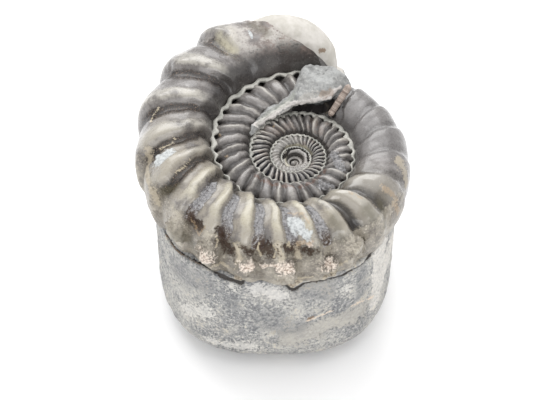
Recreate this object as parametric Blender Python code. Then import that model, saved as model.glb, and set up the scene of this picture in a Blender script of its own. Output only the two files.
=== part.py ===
# Ammonite fossil, still sitting on the stone that it was found in.
# The shell is one logarithmic coil. Its whorls share one cross-section, which grows with the coil,
# and carry simple ribs. The stone is a tall pebble, hollowed to take the shell's lower half.
# Lengths are in millimetres here and become metres when a mesh is made. +Z is up, +X is right and
# -Y is the side that the shell leans towards.

import math

import bmesh
import bpy
from mathutils import Matrix, Vector

METRES_PER_MM = 0.001
SHARP_EDGE = math.radians(40)

# Coil: every length of a whorl is a multiple of its seam's radius, which grows by a fixed share.
COIL_CENTRE = (3.27, -3.13, 27.9)
COIL_TILT = math.radians(7.0)
SEAM_RADIUS_AT_ZERO = 2.011
GROWTH_PER_RADIAN = 0.097965
SEAM_RISE = 0.2566
FIRST_GROWTH = -3.0
LAST_GROWTH = 20.76
COLUMNS_PER_TURN = 110

# Cross-section of a whorl, as shares of the seam's radius.
WHORL_CENTRE = 1.44
WHORL_HALF_WIDTH = 0.468
WHORL_HALF_HEIGHT = 0.60
WHORL_SQUARENESS = 2.4

# Ribs: where each crest of the last whorl stands, as a growth angle, and the spacing further in.
RIB_HEIGHT = 0.105
LAST_WHORL_CRESTS = (
    14.92, 15.25, 15.58, 15.91, 16.24, 16.58, 16.88, 17.14, 17.40,
    17.65, 17.92, 18.19, 18.49, 18.80, 19.16, 19.53, 19.88, 20.21, 20.55,
)
MIDDLE_RIB_SPACING = 0.279
MIDDLE_RIB_COUNT = 13
INNER_RIB_SPACING = 0.255
INNER_RIB_COUNT = 28
RIBS_FADE_FROM = 5.0
RIBS_FADE_TO = 2.0

# The broken edge of the last whorl slants back from the seam to the rim: growth angle lost at each
# section angle, and how far back the columns of the mesh are drawn along with it.
EDGE_SLANT = ((-90, 0.30), (35, 0.52), (98, 0.34), (122, 0.17), (150, 0.03))
EDGE_SLANT_REACH = 1.4

# Section angles in degrees, from the wall beside the seam over the flank and the rim to the underside.
FLANK_ANGLES = (150, 122, 98, 74, 50, 33)
RIM_ANGLES = (14, -5, -25, -45, -67, -90)
SMALL_FLANK_ANGLES = (140, 105, 70, 38)
CORE_FLANK_ANGLES = (120, 60)
SMALL_WHORLS_END = 8.0
CORE_END = 2.0
CORE_RISE = 0.9
CORE_SWELL = 1.2
CORE_FLATNESS = 0.85
UNDERSIDE_MIDDLE = -6.2

# Clearance between pieces that touch in the real fossil.
CLEARANCE = 0.32
RIDGE_ROOM = 0.9 * CLEARANCE

# Stone.
STONE_OFFSET = (-2.81, 2.9)
STONE_HALF_SIZE = (19.2, 22.4)
STONE_SQUARENESS = 2.7
STONE_EDGE_RADIUS = 6.4
STONE_TOP_LEVEL = -3.4
STONE_LEDGE = 0.9
STONE_HUMP_TURNS = (math.radians(56), math.radians(78))
STONE_COLUMNS = 64
STONE_EDGE_ANGLES = (0, 22, 45, 68, 90)
STONE_SIDE_SHARES = (0.35, 0.7, 1.0)
STONE_DRAW_IN = 1.5

# Gentle waviness of the stone's sides: depth, waves around it, their twist from bottom to top, and how
# fast the depth changes up the round edge and up the sides.
STONE_WAVE = 0.35
STONE_WAVES_AROUND = 3
STONE_WAVE_TWIST = 4
STONE_WAVE_UP_EDGE = 0.16
STONE_WAVE_UP_SIDE = 2.5

# Hump, measured from the coil's centre.
HUMP_CENTRE = (-0.5, 21.1, 1.5)
HUMP_HALF_SIZE = (8.1, 5.9, 9.1)
HUMP_SEGMENTS = 20
HUMP_RINGS = 12

# Ridge of rock across the whorls: growth angle, lowest and highest section angle in degrees, thickness
# of the rock on its rim side and on its inner side.
RIDGE_STATIONS = (
    (13.02, 136, 150, 0.30, 0.35),
    (13.30, 124, 152, 0.45, 0.7),
    (13.60, 112, 154, 0.6, 1.0),
    (13.90, 96, 154, 0.8, 1.3),
    (14.12, 76, 154, 1.4, 1.6),
    (14.28, 52, 152, 2.8, 1.7),
    (14.44, 40, 148, 3.1, 1.9),
    (14.60, 22, 140, 2.9, 2.0),
    (14.74, 18, 128, 2.3, 1.8),
    (14.86, 40, 118, 1.0, 0.9),
)
RIDGE_POINTS_ACROSS = 6
RIDGE_COLUMNS = 18

# Small rod that lies beside the ridge, up the wall of the whorl.
ROD_GROWTH = 14.93
ROD_FOOT_RADIUS = 8.4
ROD_FOOT_HEIGHT = 3.75
ROD_HEAD_RADIUS = 12.9
ROD_HEAD_HEIGHT = 7.1
ROD_FOOT_HALF_WIDTH = 0.357
ROD_HEAD_HALF_WIDTH = 0.425
ROD_SIDES = 8

COLOURS = {
    "ammonite": ((0.17, 0.155, 0.13, 1.0), 0.42),
    "stone": ((0.27, 0.28, 0.29, 1.0), 0.85),
    "matrix_remnant": ((0.33, 0.34, 0.32, 1.0), 0.8),
    "shell_splinter": ((0.45, 0.34, 0.24, 1.0), 0.6),
}


def clear_scene():
    """Remove every object that is already in the scene."""
    for item in list(bpy.data.objects):
        bpy.data.objects.remove(item, do_unlink=True)


def blend_between(value, points):
    """Straight-line value between (x, y) points that are given in rising x."""
    if value <= points[0][0]:
        return points[0][1]
    for (x0, y0), (x1, y1) in zip(points, points[1:]):
        if value <= x1:
            return y0 + (y1 - y0) * (value - x0) / (x1 - x0)
    return points[-1][1]


def seam_radius(growth):
    return SEAM_RADIUS_AT_ZERO * math.exp(GROWTH_PER_RADIAN * growth)


def rib_crests():
    """Growth angles of all crests, from the core outwards."""
    first = LAST_WHORL_CRESTS[0]
    middle = [first - MIDDLE_RIB_SPACING * (step + 1) for step in range(MIDDLE_RIB_COUNT)]
    inner = [middle[-1] - INNER_RIB_SPACING * (step + 1) for step in range(INNER_RIB_COUNT)]
    after_last = LAST_WHORL_CRESTS[-1] + MIDDLE_RIB_SPACING
    return inner[::-1] + middle[::-1] + list(LAST_WHORL_CRESTS) + [after_last]


CRESTS = rib_crests()
CREST_COUNTER = [(crest, float(number)) for number, crest in enumerate(CRESTS)]
RELIEF_BY_SECTION = (
    (-90, 0.0), (-65, 0.1), (-35, 0.75), (0, 1.0), (80, 1.0), (120, 0.75), (150, 0.35), (175, 0.1),
)
RELIEF_BY_GROWTH = (
    (RIBS_FADE_TO, 0.0), (RIBS_FADE_FROM, 0.8), (14.3, 0.9), (15.0, 0.6), (16.3, 0.7), (17.0, 1.0),
    (20.0, 1.1),
)
SWEEP_BY_SECTION = ((-90, -0.06), (0, -0.04), (65, 0.0), (120, 0.13), (150, 0.20))


def rib_relief(growth, section_degrees):
    """Height of the ribs above or below the plain whorl, as a share of the seam's radius."""
    swept = growth - blend_between(section_degrees, SWEEP_BY_SECTION)
    count = blend_between(swept, CREST_COUNTER)
    wave = 0.5 * math.cos(2 * math.pi * count)
    strength = blend_between(section_degrees, RELIEF_BY_SECTION) * blend_between(growth, RELIEF_BY_GROWTH)
    return RIB_HEIGHT * strength * wave


def signed_power(value, power):
    return math.copysign(abs(value) ** power, value)


def whorl_point(growth, section_degrees, offset=0.0):
    """Point on a whorl's surface in the coil's own frame, moved out by an offset."""
    seam = seam_radius(growth)
    section = math.radians(section_degrees)
    power = 2.0 / WHORL_SQUARENESS
    across = signed_power(math.cos(section), power)
    up = signed_power(math.sin(section), power)
    relief = rib_relief(growth, section_degrees) * seam
    radius = WHORL_CENTRE * seam + (WHORL_HALF_WIDTH * seam + relief + offset) * across
    height = (WHORL_HALF_HEIGHT * seam + relief + offset) * up
    turn = math.pi - growth
    return Vector((radius * math.cos(turn), radius * math.sin(turn), height))


def seam_point(growth, offset=0.0):
    """Point on the raised edge along the seam between two whorls."""
    seam = seam_radius(growth)
    radius = seam + offset
    turn = math.pi - growth
    return Vector((radius * math.cos(turn), radius * math.sin(turn), SEAM_RISE * seam + offset))


def coil_to_world():
    return Matrix.Translation(COIL_CENTRE) @ Matrix.Rotation(COIL_TILT, 4, "X")


def material_for(name):
    """Principled material with the piece's colour and roughness."""
    colour, roughness = COLOURS[name]
    material = bpy.data.materials.new(name)
    material.use_nodes = True
    shader = material.node_tree.nodes["Principled BSDF"]
    shader.inputs["Base Color"].default_value = colour
    shader.inputs["Roughness"].default_value = roughness
    shader.inputs["Metallic"].default_value = 0.0
    return material


def add_object(name, mesh_data, frame):
    """Turn a bmesh in millimetres into an object in metres, with its faces pointing out."""
    bmesh.ops.recalc_face_normals(mesh_data, faces=mesh_data.faces)
    mesh = bpy.data.meshes.new(name)
    mesh_data.transform(Matrix.Scale(METRES_PER_MM, 4) @ frame)
    mesh_data.to_mesh(mesh)
    mesh_data.free()
    piece = bpy.data.objects.new(name, mesh)
    bpy.context.scene.collection.objects.link(piece)
    if name in COLOURS:
        mesh.materials.append(material_for(name))
    mesh.shade_smooth()
    mesh.set_sharp_from_angle(angle=SHARP_EDGE)
    return piece


def hide_as_helper(piece):
    piece.hide_render = True
    piece.display_type = "WIRE"
    return piece


def zip_lines(mesh_data, line_a, line_b):
    """Fill between two lines of vertices that run side by side, which may differ in number."""
    a = 0
    b = 0
    last_a = len(line_a) - 1
    last_b = len(line_b) - 1
    while a < last_a or b < last_b:
        if b == last_b or (a < last_a and (a + 1) * last_b <= (b + 1) * last_a):
            corners = (line_a[a], line_a[a + 1], line_b[b])
            a += 1
        else:
            corners = (line_a[a], line_b[b + 1], line_b[b])
            b += 1
        if len(set(corners)) == 3:
            mesh_data.faces.new(corners)


def flank_angles(growth, end_column):
    if end_column:
        return FLANK_ANGLES + RIM_ANGLES
    if growth < CORE_END:
        return CORE_FLANK_ANGLES
    if growth < SMALL_WHORLS_END:
        return SMALL_FLANK_ANGLES
    return FLANK_ANGLES


def flattened(line, start, end, share):
    """Line of points drawn towards the straight line between its two neighbours."""
    gaps = len(line) + 1
    return [place.lerp(start.lerp(end, (number + 1) / gaps), share) for number, place in enumerate(line)]


def shell_solid(offset=0.0):
    """Closed mesh of the whole coil, with its outermost whorl moved out by an offset."""
    data = bmesh.new()
    step = 2 * math.pi / COLUMNS_PER_TURN
    columns = round((LAST_GROWTH - FIRST_GROWTH) / step)
    first_open = columns - COLUMNS_PER_TURN
    growths = [FIRST_GROWTH + step * column for column in range(columns + 1)]
    growths[-1] += offset / seam_radius(growths[-1])

    seams = [data.verts.new(seam_point(growth)) for growth in growths[:-1]]
    seams.append(data.verts.new(seam_point(growths[-1], offset)))
    flanks = []
    for column, growth in enumerate(growths):
        reach = max(0.0, 1.0 - (growths[-1] - growth) / EDGE_SLANT_REACH)
        outermost = column >= first_open
        line = []
        for angle in flank_angles(growth, outermost):
            slant = reach ** 2 * blend_between(angle, EDGE_SLANT)
            line.append(whorl_point(growth - slant, angle, offset * outermost))
        if growth < FIRST_GROWTH + CORE_SWELL:
            line = flattened(line, seams[column].co, seam_point(growth + 2 * math.pi),
                             CORE_FLATNESS * (1 - (growth - FIRST_GROWTH) / CORE_SWELL))
        flanks.append([data.verts.new(place) for place in line])

    for column in range(columns):
        here = [seams[column]] + flanks[column]
        there = [seams[column + 1]] + flanks[column + 1]
        if column < first_open:
            shared = len(flank_angles(growths[column + 1], False)) + 1
            here = here + [seams[column + COLUMNS_PER_TURN]]
            there = there[:shared] + [seams[column + 1 + COLUMNS_PER_TURN]]
        zip_lines(data, here, there)

    core_top = data.verts.new((0.0, 0.0, CORE_RISE))
    for column in range(COLUMNS_PER_TURN):
        data.faces.new((core_top, seams[column], seams[column + 1]))
    zip_lines(data, [seams[0]] + flanks[0] + [seams[COLUMNS_PER_TURN]], [core_top])

    underside = data.verts.new((0.0, 0.0, UNDERSIDE_MIDDLE - offset))
    for column in range(first_open, columns):
        data.faces.new((underside, flanks[column][-1], flanks[column + 1][-1]))
    data.faces.new((underside, flanks[first_open][-1], flanks[-1][-1]))

    crest_at = len(FLANK_ANGLES) // 2
    start_rim = [seams[-1]] + flanks[first_open][len(FLANK_ANGLES) - 1:]
    zip_lines(data, flanks[-1][:crest_at + 1], [seams[-1]])
    zip_lines(data, flanks[-1][crest_at:], start_rim + [flanks[-1][-1]])
    return data


def stone_outline(turn):
    """Radius of the pebble's plan outline in one direction, before its waviness."""
    power = STONE_SQUARENESS
    across = abs(math.cos(turn) / STONE_HALF_SIZE[0]) ** power
    along = abs(math.sin(turn) / STONE_HALF_SIZE[1]) ** power
    return (across + along) ** (-1.0 / power)


def shell_reach(turn):
    """Distance from the coil's axis to the shell's rim in one direction, where the stone meets it."""
    inner_start = LAST_GROWTH - 2 * math.pi
    growth = inner_start + (math.pi - turn - inner_start) % (2 * math.pi)

    def rim(at):
        seam = seam_radius(at)
        up = abs(STONE_TOP_LEVEL) / (WHORL_HALF_HEIGHT * seam)
        across = (1 - up ** WHORL_SQUARENESS) ** (1 / WHORL_SQUARENESS)
        return seam * (WHORL_CENTRE + WHORL_HALF_WIDTH * across)

    start, end = STONE_HUMP_TURNS
    share = (turn % (2 * math.pi) - start) / (end - start)
    if 0 < share < 1:
        share = share * share * (3 - 2 * share)
        return rim(math.pi - start + 4 * math.pi) * (1 - share) + rim(LAST_GROWTH) * share
    return rim(growth)


def held_in(x, y, share):
    """Plan point moved towards the shell's rim, by a share that grows up the stone's side."""
    from_axis = Vector((x - COIL_CENTRE[0], y - COIL_CENTRE[1]))
    limit = shell_reach(math.atan2(from_axis.y, from_axis.x)) + STONE_LEDGE
    if from_axis.length > limit:
        from_axis *= 1 + share * (limit / from_axis.length - 1)
    return COIL_CENTRE[0] + from_axis.x, COIL_CENTRE[1] + from_axis.y


def stone_top(x, y):
    """Height of the stone's top, which leans with the coil."""
    lean = (y - COIL_CENTRE[1]) * math.tan(COIL_TILT)
    return COIL_CENTRE[2] + lean + STONE_TOP_LEVEL / math.cos(COIL_TILT)


def stone_body():
    """Tall pebble with a small flat base, round lower edges and nearly upright sides."""
    data = bmesh.new()
    centre_x = COIL_CENTRE[0] + STONE_OFFSET[0]
    centre_y = COIL_CENTRE[1] + STONE_OFFSET[1]
    arc = [math.radians(angle) for angle in STONE_EDGE_ANGLES]
    levels = [(-STONE_EDGE_RADIUS * (1 - math.sin(bend)), STONE_EDGE_RADIUS * (1 - math.cos(bend)))
              for bend in arc]
    rings = [(inset, height, 0.0) for inset, height in levels]
    rings += [(0.0, STONE_EDGE_RADIUS, share) for share in STONE_SIDE_SHARES]

    rows = []
    for inset, height, share in rings:
        row = []
        for column in range(STONE_COLUMNS):
            turn = 2 * math.pi * column / STONE_COLUMNS
            radius = stone_outline(turn) + inset
            around = math.sin(STONE_WAVES_AROUND * turn + STONE_WAVE_TWIST * share)
            upwards = math.sin(STONE_WAVE_UP_EDGE * height + STONE_WAVE_UP_SIDE * share)
            radius += STONE_WAVE * around * upwards
            x = centre_x + radius * math.cos(turn)
            y = centre_y + radius * math.sin(turn)
            x, y = held_in(x, y, share ** STONE_DRAW_IN)
            row.append(data.verts.new((x, y, height * (1 - share) + share * stone_top(x, y))))
        rows.append(row)
    for lower, upper in zip(rows, rows[1:]):
        for column in range(STONE_COLUMNS):
            following = (column + 1) % STONE_COLUMNS
            data.faces.new((lower[column], lower[following], upper[following], upper[column]))
    data.faces.new(rows[0][::-1])
    top_centre = data.verts.new((centre_x, centre_y, stone_top(centre_x, centre_y)))
    for column in range(STONE_COLUMNS):
        data.faces.new((rows[-1][column], rows[-1][(column + 1) % STONE_COLUMNS], top_centre))
    return data


def hump_body():
    """Rounded lump of stone that stands where the shell breaks off."""
    data = bmesh.new()
    bmesh.ops.create_uvsphere(data, u_segments=HUMP_SEGMENTS, v_segments=HUMP_RINGS, radius=1.0)
    centre = [COIL_CENTRE[axis] + HUMP_CENTRE[axis] for axis in range(3)]
    data.transform(Matrix.Translation(centre) @ Matrix.Diagonal((*HUMP_HALF_SIZE, 1.0)))
    return data


def ridge_station(growth):
    """Lowest and highest section angle of the ridge, and its thickness at the rim and inner side."""
    return [
        blend_between(growth, [(station[0], station[value]) for station in RIDGE_STATIONS])
        for value in range(1, 5)
    ]


def ridge_solid(grow=0.0):
    """Strip of rock that follows the whorl from its seam and swells into a lump."""
    data = bmesh.new()
    rings = []
    start = RIDGE_STATIONS[0][0]
    end = RIDGE_STATIONS[-1][0]
    for column in range(RIDGE_COLUMNS + 1):
        growth = start + (end - start) * column / RIDGE_COLUMNS
        low, high, rim_thickness, inner_thickness = ridge_station(growth)
        step = (high - low) / RIDGE_POINTS_ACROSS
        angles = [low + step * point for point in range(RIDGE_POINTS_ACROSS + 1)]
        under = [whorl_point(growth, angle, CLEARANCE - grow) for angle in angles]
        over = []
        for point, angle in enumerate(angles[1:-1], start=1):
            share = point / RIDGE_POINTS_ACROSS
            thickness = rim_thickness + (inner_thickness - rim_thickness) * share + grow
            if angle < 90:
                over.append(whorl_point(growth, angle, CLEARANCE) + Vector((0.0, 0.0, thickness)))
            else:
                over.append(whorl_point(growth, angle, CLEARANCE + thickness))
        rings.append([data.verts.new(place) for place in under + over[::-1]])
    for ring, following in zip(rings, rings[1:]):
        for corner in range(len(ring)):
            after = (corner + 1) % len(ring)
            data.faces.new((ring[corner], ring[after], following[after], following[corner]))
    data.faces.new(rings[0])
    data.faces.new(rings[-1][::-1])
    bmesh.ops.triangulate(data, faces=data.faces)
    return data


def rod_solid():
    """Small straight rod, thinner at its foot."""
    turn = math.pi - ROD_GROWTH
    outwards = Vector((math.cos(turn), math.sin(turn), 0.0))
    foot = outwards * ROD_FOOT_RADIUS + Vector((0.0, 0.0, ROD_FOOT_HEIGHT))
    head = outwards * ROD_HEAD_RADIUS + Vector((0.0, 0.0, ROD_HEAD_HEIGHT))
    axis = head - foot
    data = bmesh.new()
    bmesh.ops.create_cone(
        data,
        cap_ends=True,
        segments=ROD_SIDES,
        radius1=ROD_FOOT_HALF_WIDTH,
        radius2=ROD_HEAD_HALF_WIDTH,
        depth=axis.length,
    )
    turn_to_axis = axis.to_track_quat("Z", "Y").to_matrix().to_4x4()
    data.transform(Matrix.Translation((foot + head) / 2) @ turn_to_axis)
    return data


def cut(piece, cutter, operation="DIFFERENCE"):
    modifier = piece.modifiers.new(cutter.name, "BOOLEAN")
    modifier.operation = operation
    modifier.object = cutter
    modifier.solver = "EXACT"


def main():
    clear_scene()
    coil = coil_to_world()
    upright = Matrix.Identity(4)

    add_object("ammonite", shell_solid(), coil)
    room_for_shell = hide_as_helper(add_object("room_for_shell", shell_solid(CLEARANCE), coil))
    room_for_ridge = hide_as_helper(add_object("room_for_ridge", ridge_solid(RIDGE_ROOM), coil))
    hump = hide_as_helper(add_object("hump", hump_body(), upright))

    stone = add_object("stone", stone_body(), upright)
    cut(stone, hump, "UNION")
    cut(stone, room_for_shell)
    cut(stone, room_for_ridge)

    add_object("matrix_remnant", ridge_solid(), coil)
    add_object("shell_splinter", rod_solid(), coil)


main()
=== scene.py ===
# Looks of an ammonite fossil that still sits on the stone it was found in.
# The shell's whorls are grown by one Geometry Nodes tree along a logarithmic coil. The stone, the ridge
# of leftover rock and the small splinter are sculpted meshes. Lengths are in millimetres until a mesh is
# placed, and then in metres. A place that is read off the picture is a named pixel, which is carried onto
# the surface along the camera's line of sight when the piece is made.

import math

import bmesh
import bpy
import numpy as np
from mathutils import Matrix, Vector
from mathutils.bvhtree import BVHTree


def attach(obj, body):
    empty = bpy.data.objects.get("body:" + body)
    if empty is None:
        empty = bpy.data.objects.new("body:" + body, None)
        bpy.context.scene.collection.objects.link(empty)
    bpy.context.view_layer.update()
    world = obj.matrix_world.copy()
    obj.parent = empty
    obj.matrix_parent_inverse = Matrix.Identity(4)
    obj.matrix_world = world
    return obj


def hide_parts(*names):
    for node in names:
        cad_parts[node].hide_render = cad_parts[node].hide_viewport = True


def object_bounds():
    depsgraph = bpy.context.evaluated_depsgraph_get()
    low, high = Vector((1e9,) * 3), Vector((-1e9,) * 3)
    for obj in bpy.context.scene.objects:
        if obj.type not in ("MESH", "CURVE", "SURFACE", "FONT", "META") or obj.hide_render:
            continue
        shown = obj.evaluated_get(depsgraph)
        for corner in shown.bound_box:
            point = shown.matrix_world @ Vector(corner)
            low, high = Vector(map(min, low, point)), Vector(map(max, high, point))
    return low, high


bl_info = {
    "name": "Ammonite fossil",
    "version": (1, 0, 0),
    "blender": (4, 5, 0),
    "location": "3D View > Sidebar > Ammonite",
    "description": "Makes a coiled, ribbed ammonite on the stone it was found in",
    "category": "Add Mesh",
}

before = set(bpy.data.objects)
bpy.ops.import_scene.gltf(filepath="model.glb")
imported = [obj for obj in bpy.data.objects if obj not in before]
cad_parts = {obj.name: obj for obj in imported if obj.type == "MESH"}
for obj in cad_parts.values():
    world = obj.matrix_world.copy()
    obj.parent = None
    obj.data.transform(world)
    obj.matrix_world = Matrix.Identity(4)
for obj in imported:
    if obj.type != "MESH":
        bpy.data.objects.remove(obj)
CAD_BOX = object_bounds()
BODY = "root"
MM = 0.001

# Coil: every length of a whorl is a multiple of its seam's radius, which grows by a fixed share.
COIL_CENTRE = (3.27, -3.13, 27.9)
COIL_TILT = math.radians(7.0)
SEAM_RADIUS_AT_ZERO = 2.011
GROWTH_PER_RADIAN = 0.097965
SEAM_RISE = 0.2566
CORE_GROWTH = -17.0
CORE_DOME = (0.48, 0.5)
CORE_SINK = (-14.0, -1.0, -0.8)
MIDDLE_WHORL_START = 8.0
LAST_GROWTH = 20.76
LAST_WHORL_START = LAST_GROWTH - 2 * math.pi
WHORL_CENTRE = 1.44
WHORL_HALF_WIDTH = 0.468
WHORL_HALF_HEIGHT = 0.60
WHORL_SQUARENESS = 2.4

# Ribs: the crests of the last whorl, as growth angles, and the spacing further in.
RIB_HEIGHT = 0.105
LAST_WHORL_CRESTS = (
    14.92, 15.25, 15.58, 15.91, 16.24, 16.58, 16.88, 17.14, 17.40,
    17.65, 17.92, 18.19, 18.49, 18.80, 19.16, 19.53, 19.88, 20.21, 20.55,
)
# Spacing of the ribs on the middle whorl, on the whorl inside it and around the core.
MIDDLE_RIB_SPACING = 0.205
INNER_RIB_SPACING = 0.17
CORE_RIB_SPACING = 0.22
INNER_RIBS_END = 8.2
CORE_RIBS_END = 1.9
AFTER_LAST_RIB = 0.28
# Height of the ribs over the section and along the coil, as shares of their full height.
RELIEF_BY_SECTION = (
    (-195, 0), (-90, 0), (-65, 0.1), (-35, 0.6), (0, 0.8), (35, 0.95), (80, 1), (120, 0.85), (150, 0.5),
    (168, 0.12), (190, 0),
)
RELIEF_BY_GROWTH = (
    (-10, 0), (-3.5, 0.1), (-2, 0.5), (0, 0.8), (2, 0.95), (6.5, 1.1), (8, 0.95), (14.3, 0.92),
    (14.9, 0.42), (16.1, 0.36), (16.35, 0.58), (16.6, 0.85), (16.8, 1.08), (18.3, 1.08), (19.6, 1),
    (20.0, 0.85), (20.15, 0.5), (20.3, 0.2), (20.5, 0.05), (20.76, 0),
)
# Stretch whose rim is worn down to a rough crust, as growth and section angles where it starts and ends.
WORN_GROWTHS = (15.9, 16.5, 18.5, 19.0)
WORN_SECTIONS = (22, 56)
WORN_END = (20.15, 20.5)
WEAR_ON_RIBS = 0.35
# Near the broken end the ribs fade towards the seam: growth and section angles, and by how much.
SMOOTH_END = (19.7, 20.1)
SMOOTH_END_SECTIONS = (82.0, 112.0)
SMOOTH_END_SHARE = 0.9

# Irregularity of the ribs: how far their spacing drifts and where that ends, how much they bend, and how
# far their heights differ on the outer and the inner whorls.
RIB_DRIFT = 1.1
RIB_DRIFT_FADES = (14.9, 14.2)
RIB_BEND = 0.11
UNEVEN_RIBS = (8.4, 7.6, 0.9, 2.2)
LOWEST_RIB = 0.25

# How far the ribs sweep back, and how far the broken edge slants back, over the section.
SWEEP_BY_SECTION = ((-195, -0.06), (-90, -0.06), (0, -0.04), (65, 0), (120, 0.13), (150, 0.2), (190, 0.2))
EDGE_SLANT = ((-195, 0), (-90, 0.35), (0, 0.62), (35, 0.66), (98, 0.46), (122, 0.25), (150, 0.05), (190, 0))
EDGE_SLANT_REACH = 1.4

# Shape of one rib, from half a rib before its crest to half a rib after it: the last whorl's ribs, and
# the sharp and blunt ribs that take turns further in.
OUTER_RIBS_FROM = (14.2, 15.2)
OUTER_RIB = (
    (-0.5, -0.14), (-0.4, -0.34), (-0.3, -0.5), (-0.22, -0.42), (-0.1, 0.22), (0, 0.5), (0.12, 0.42),
    (0.3, 0.12), (0.5, -0.14),
)
SHARP_RIB = ((-0.5, -0.5), (-0.36, -0.42), (-0.16, 0.2), (0, 0.5), (0.12, 0.34), (0.34, -0.3), (0.5, -0.5))
BLUNT_RIB = ((-0.5, -0.5), (-0.4, -0.32), (-0.22, 0.1), (0, 0.24), (0.22, 0.12), (0.4, -0.32), (0.5, -0.5))

# How strongly painted shade darkens the whorl's wall beside the seam, by growth angle.
WALL_SHADE = ((-7, 0.8), (13.5, 0.85), (14.6, 0.6), (16, 0.4), (18.7, 0.45), (19.4, 0.85), (20.8, 0.9))

# Half width in millimetres of the shell edge that stands along the seam.
LIP_WIDTH = (
    (-1, 0.12), (4, 0.15), (8, 0.18), (10, 0.13), (11.5, 0.13), (12.4, 0.22), (13, 0.32), (14, 0.38),
    (15.5, 0.36), (15.9, 0.2), (16.4, 0.1), (17.5, 0.09), (18.4, 0.17), (18.8, 0.26), (19.3, 0.42),
    (20.6, 0.42),
)
LIP_ROWS = 13
LIP_COLUMNS = 2400
LIP_START = -0.6
LIP_SHORT_OF_END = 0.15
LIP_HEIGHT = 0.05
LIP_WAVINESS = 0.018
LIP_SQUARENESS = 0.7

# Meshes of the whorls. The section runs from the seam's wall over the flank and round, and most rows
# lie on the part that can be seen.
HIGHEST_SECTION = 190.0
MERGE_DISTANCE = 0.0004
OUTER_MESH = {"columns": 860, "rows": 112, "cap_columns": 8, "lowest_seen_section": -62.0,
              "seen_rows_share": 0.93, "broken_slant": 1.0}
INNER_MESH = {"columns": 1400, "rows": 66, "cap_columns": 5, "lowest_seen_section": 22.0,
              "seen_rows_share": 0.86, "broken_slant": 0.0}
INNER_UNEVENNESS = 0.008
WHORL_OVERLAPS = (0.12, 0.1)

# Camera, from the outline of the coil in the picture.
PICTURE_MIDDLE = (266.5, 200.0)
CAMERA_ELEVATION = math.radians(46.03)
MM_PER_PIXEL = 0.156
CAMERA_DISTANCE = 1500
CAMERA_SHIFT = (-27.1, -39.1)
CAMERA_LENS = 101.3
CAMERA_SENSOR = 36.0

# Stone.
STONE_OFFSET = (-2.81, 2.9)
STONE_HALF_SIZE = (19.2, 22.4)
STONE_SQUARENESS = 2.7
STONE_EDGE_RADIUS = 6.4
STONE_TOP_LEVEL = -3.4
STONE_LEDGE = 0.9
STONE_HUMP_TURNS = (math.radians(56), math.radians(78))
STONE_VOXEL = 0.32
HUMP_CENTRE = (-1.9, 21.1, 1.5)
HUMP_HALF_SIZE = (9.4, 6.2, 9.4)

# Ridge of rock: growth angle, lowest and highest section angle, thickness on its rim and inner side.
RIDGE_STATIONS = (
    (13.00, 141, 150, 0.2, 0.35), (13.30, 134, 152, 0.35, 0.7), (13.60, 129, 152, 0.5, 1.0),
    (13.90, 124, 150, 0.7, 1.3), (14.05, 117, 147, 0.9, 1.5), (14.15, 104, 143, 1.2, 1.6),
    (14.21, 80, 141, 1.9, 1.7), (14.27, 48, 139, 2.6, 1.7), (14.34, 26, 138, 3.0, 1.8),
    (14.46, 15, 137, 3.3, 1.9), (14.56, 14, 135, 3.1, 2.0), (14.65, 20, 130, 2.5, 1.8),
    (14.73, 34, 118, 1.7, 1.3), (14.80, 54, 100, 0.7, 0.7),
)

# Splinter.
ROD_GROWTH = 14.885
ROD_FOOT = (8.25, 3.75)
ROD_HEAD = (12.9, 7.1)


class Wire:
    """One output in a node tree. Plain arithmetic on it adds the nodes that work it out."""

    def __init__(self, tree, socket):
        self.tree = tree
        self.socket = socket

    def calc(self, operation, *others):
        node = add_node(self.tree, "ShaderNodeMath", (self, *others), operation=operation)
        return Wire(self.tree, node.outputs[0])

    def __add__(self, other):
        return self.calc("ADD", other)

    def __sub__(self, other):
        return self.calc("SUBTRACT", other)

    def __mul__(self, other):
        return self.calc("MULTIPLY", other)

    def __truediv__(self, other):
        return self.calc("DIVIDE", other)

    def __pow__(self, power):
        return self.calc("POWER", power)

    def __rsub__(self, other):
        return self * -1.0 + other

    __radd__ = __add__
    __rmul__ = __mul__

    def least(self, other):
        return self.calc("MINIMUM", other)

    def most(self, other):
        return self.calc("MAXIMUM", other)

    def clamped(self):
        return self.most(0.0).least(1.0)

    def ramp(self, low, high, start=0.0, end=1.0, kind="SMOOTHSTEP"):
        """Value that runs from start to end while this one runs from low to high."""
        inputs = (self, low, high, start, end)
        node = add_node(self.tree, "ShaderNodeMapRange", inputs, interpolation_type=kind, clamp=True)
        return Wire(self.tree, node.outputs[0])

    def along(self, points, handle="AUTO_CLAMPED"):
        """Height of a curve through (x, y) points where x is this value."""
        low_x, high_x = points[0][0], points[-1][0]
        heights = [y for _, y in points]
        low_y, high_y = min(heights), max(heights)
        node = self.tree.nodes.new("ShaderNodeFloatCurve")
        line = node.mapping.curves[0]
        for number, (x, y) in enumerate(points):
            place = ((x - low_x) / (high_x - low_x), (y - low_y) / (high_y - low_y))
            if number in (0, len(points) - 1):
                knot = line.points[0 if number == 0 else -1]
                knot.location = place
            else:
                knot = line.points.new(*place)
            knot.handle_type = handle
        node.mapping.update()
        share = self.ramp(low_x, high_x, kind="LINEAR")
        self.tree.links.new(share.socket, node.inputs["Value"])
        return Wire(self.tree, node.outputs[0]) * (high_y - low_y) + low_y


def add_node(tree, kind, inputs=(), **settings):
    """Node with its settings made, and with wires or constants on its inputs."""
    node = tree.nodes.new(kind)
    for name, value in settings.items():
        setattr(node, name, value)
    pairs = inputs.items() if isinstance(inputs, dict) else enumerate(inputs)
    for key, value in pairs:
        if isinstance(value, Wire):
            tree.links.new(value.socket, node.inputs[key])
        else:
            node.inputs[key].default_value = value
    return node


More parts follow.
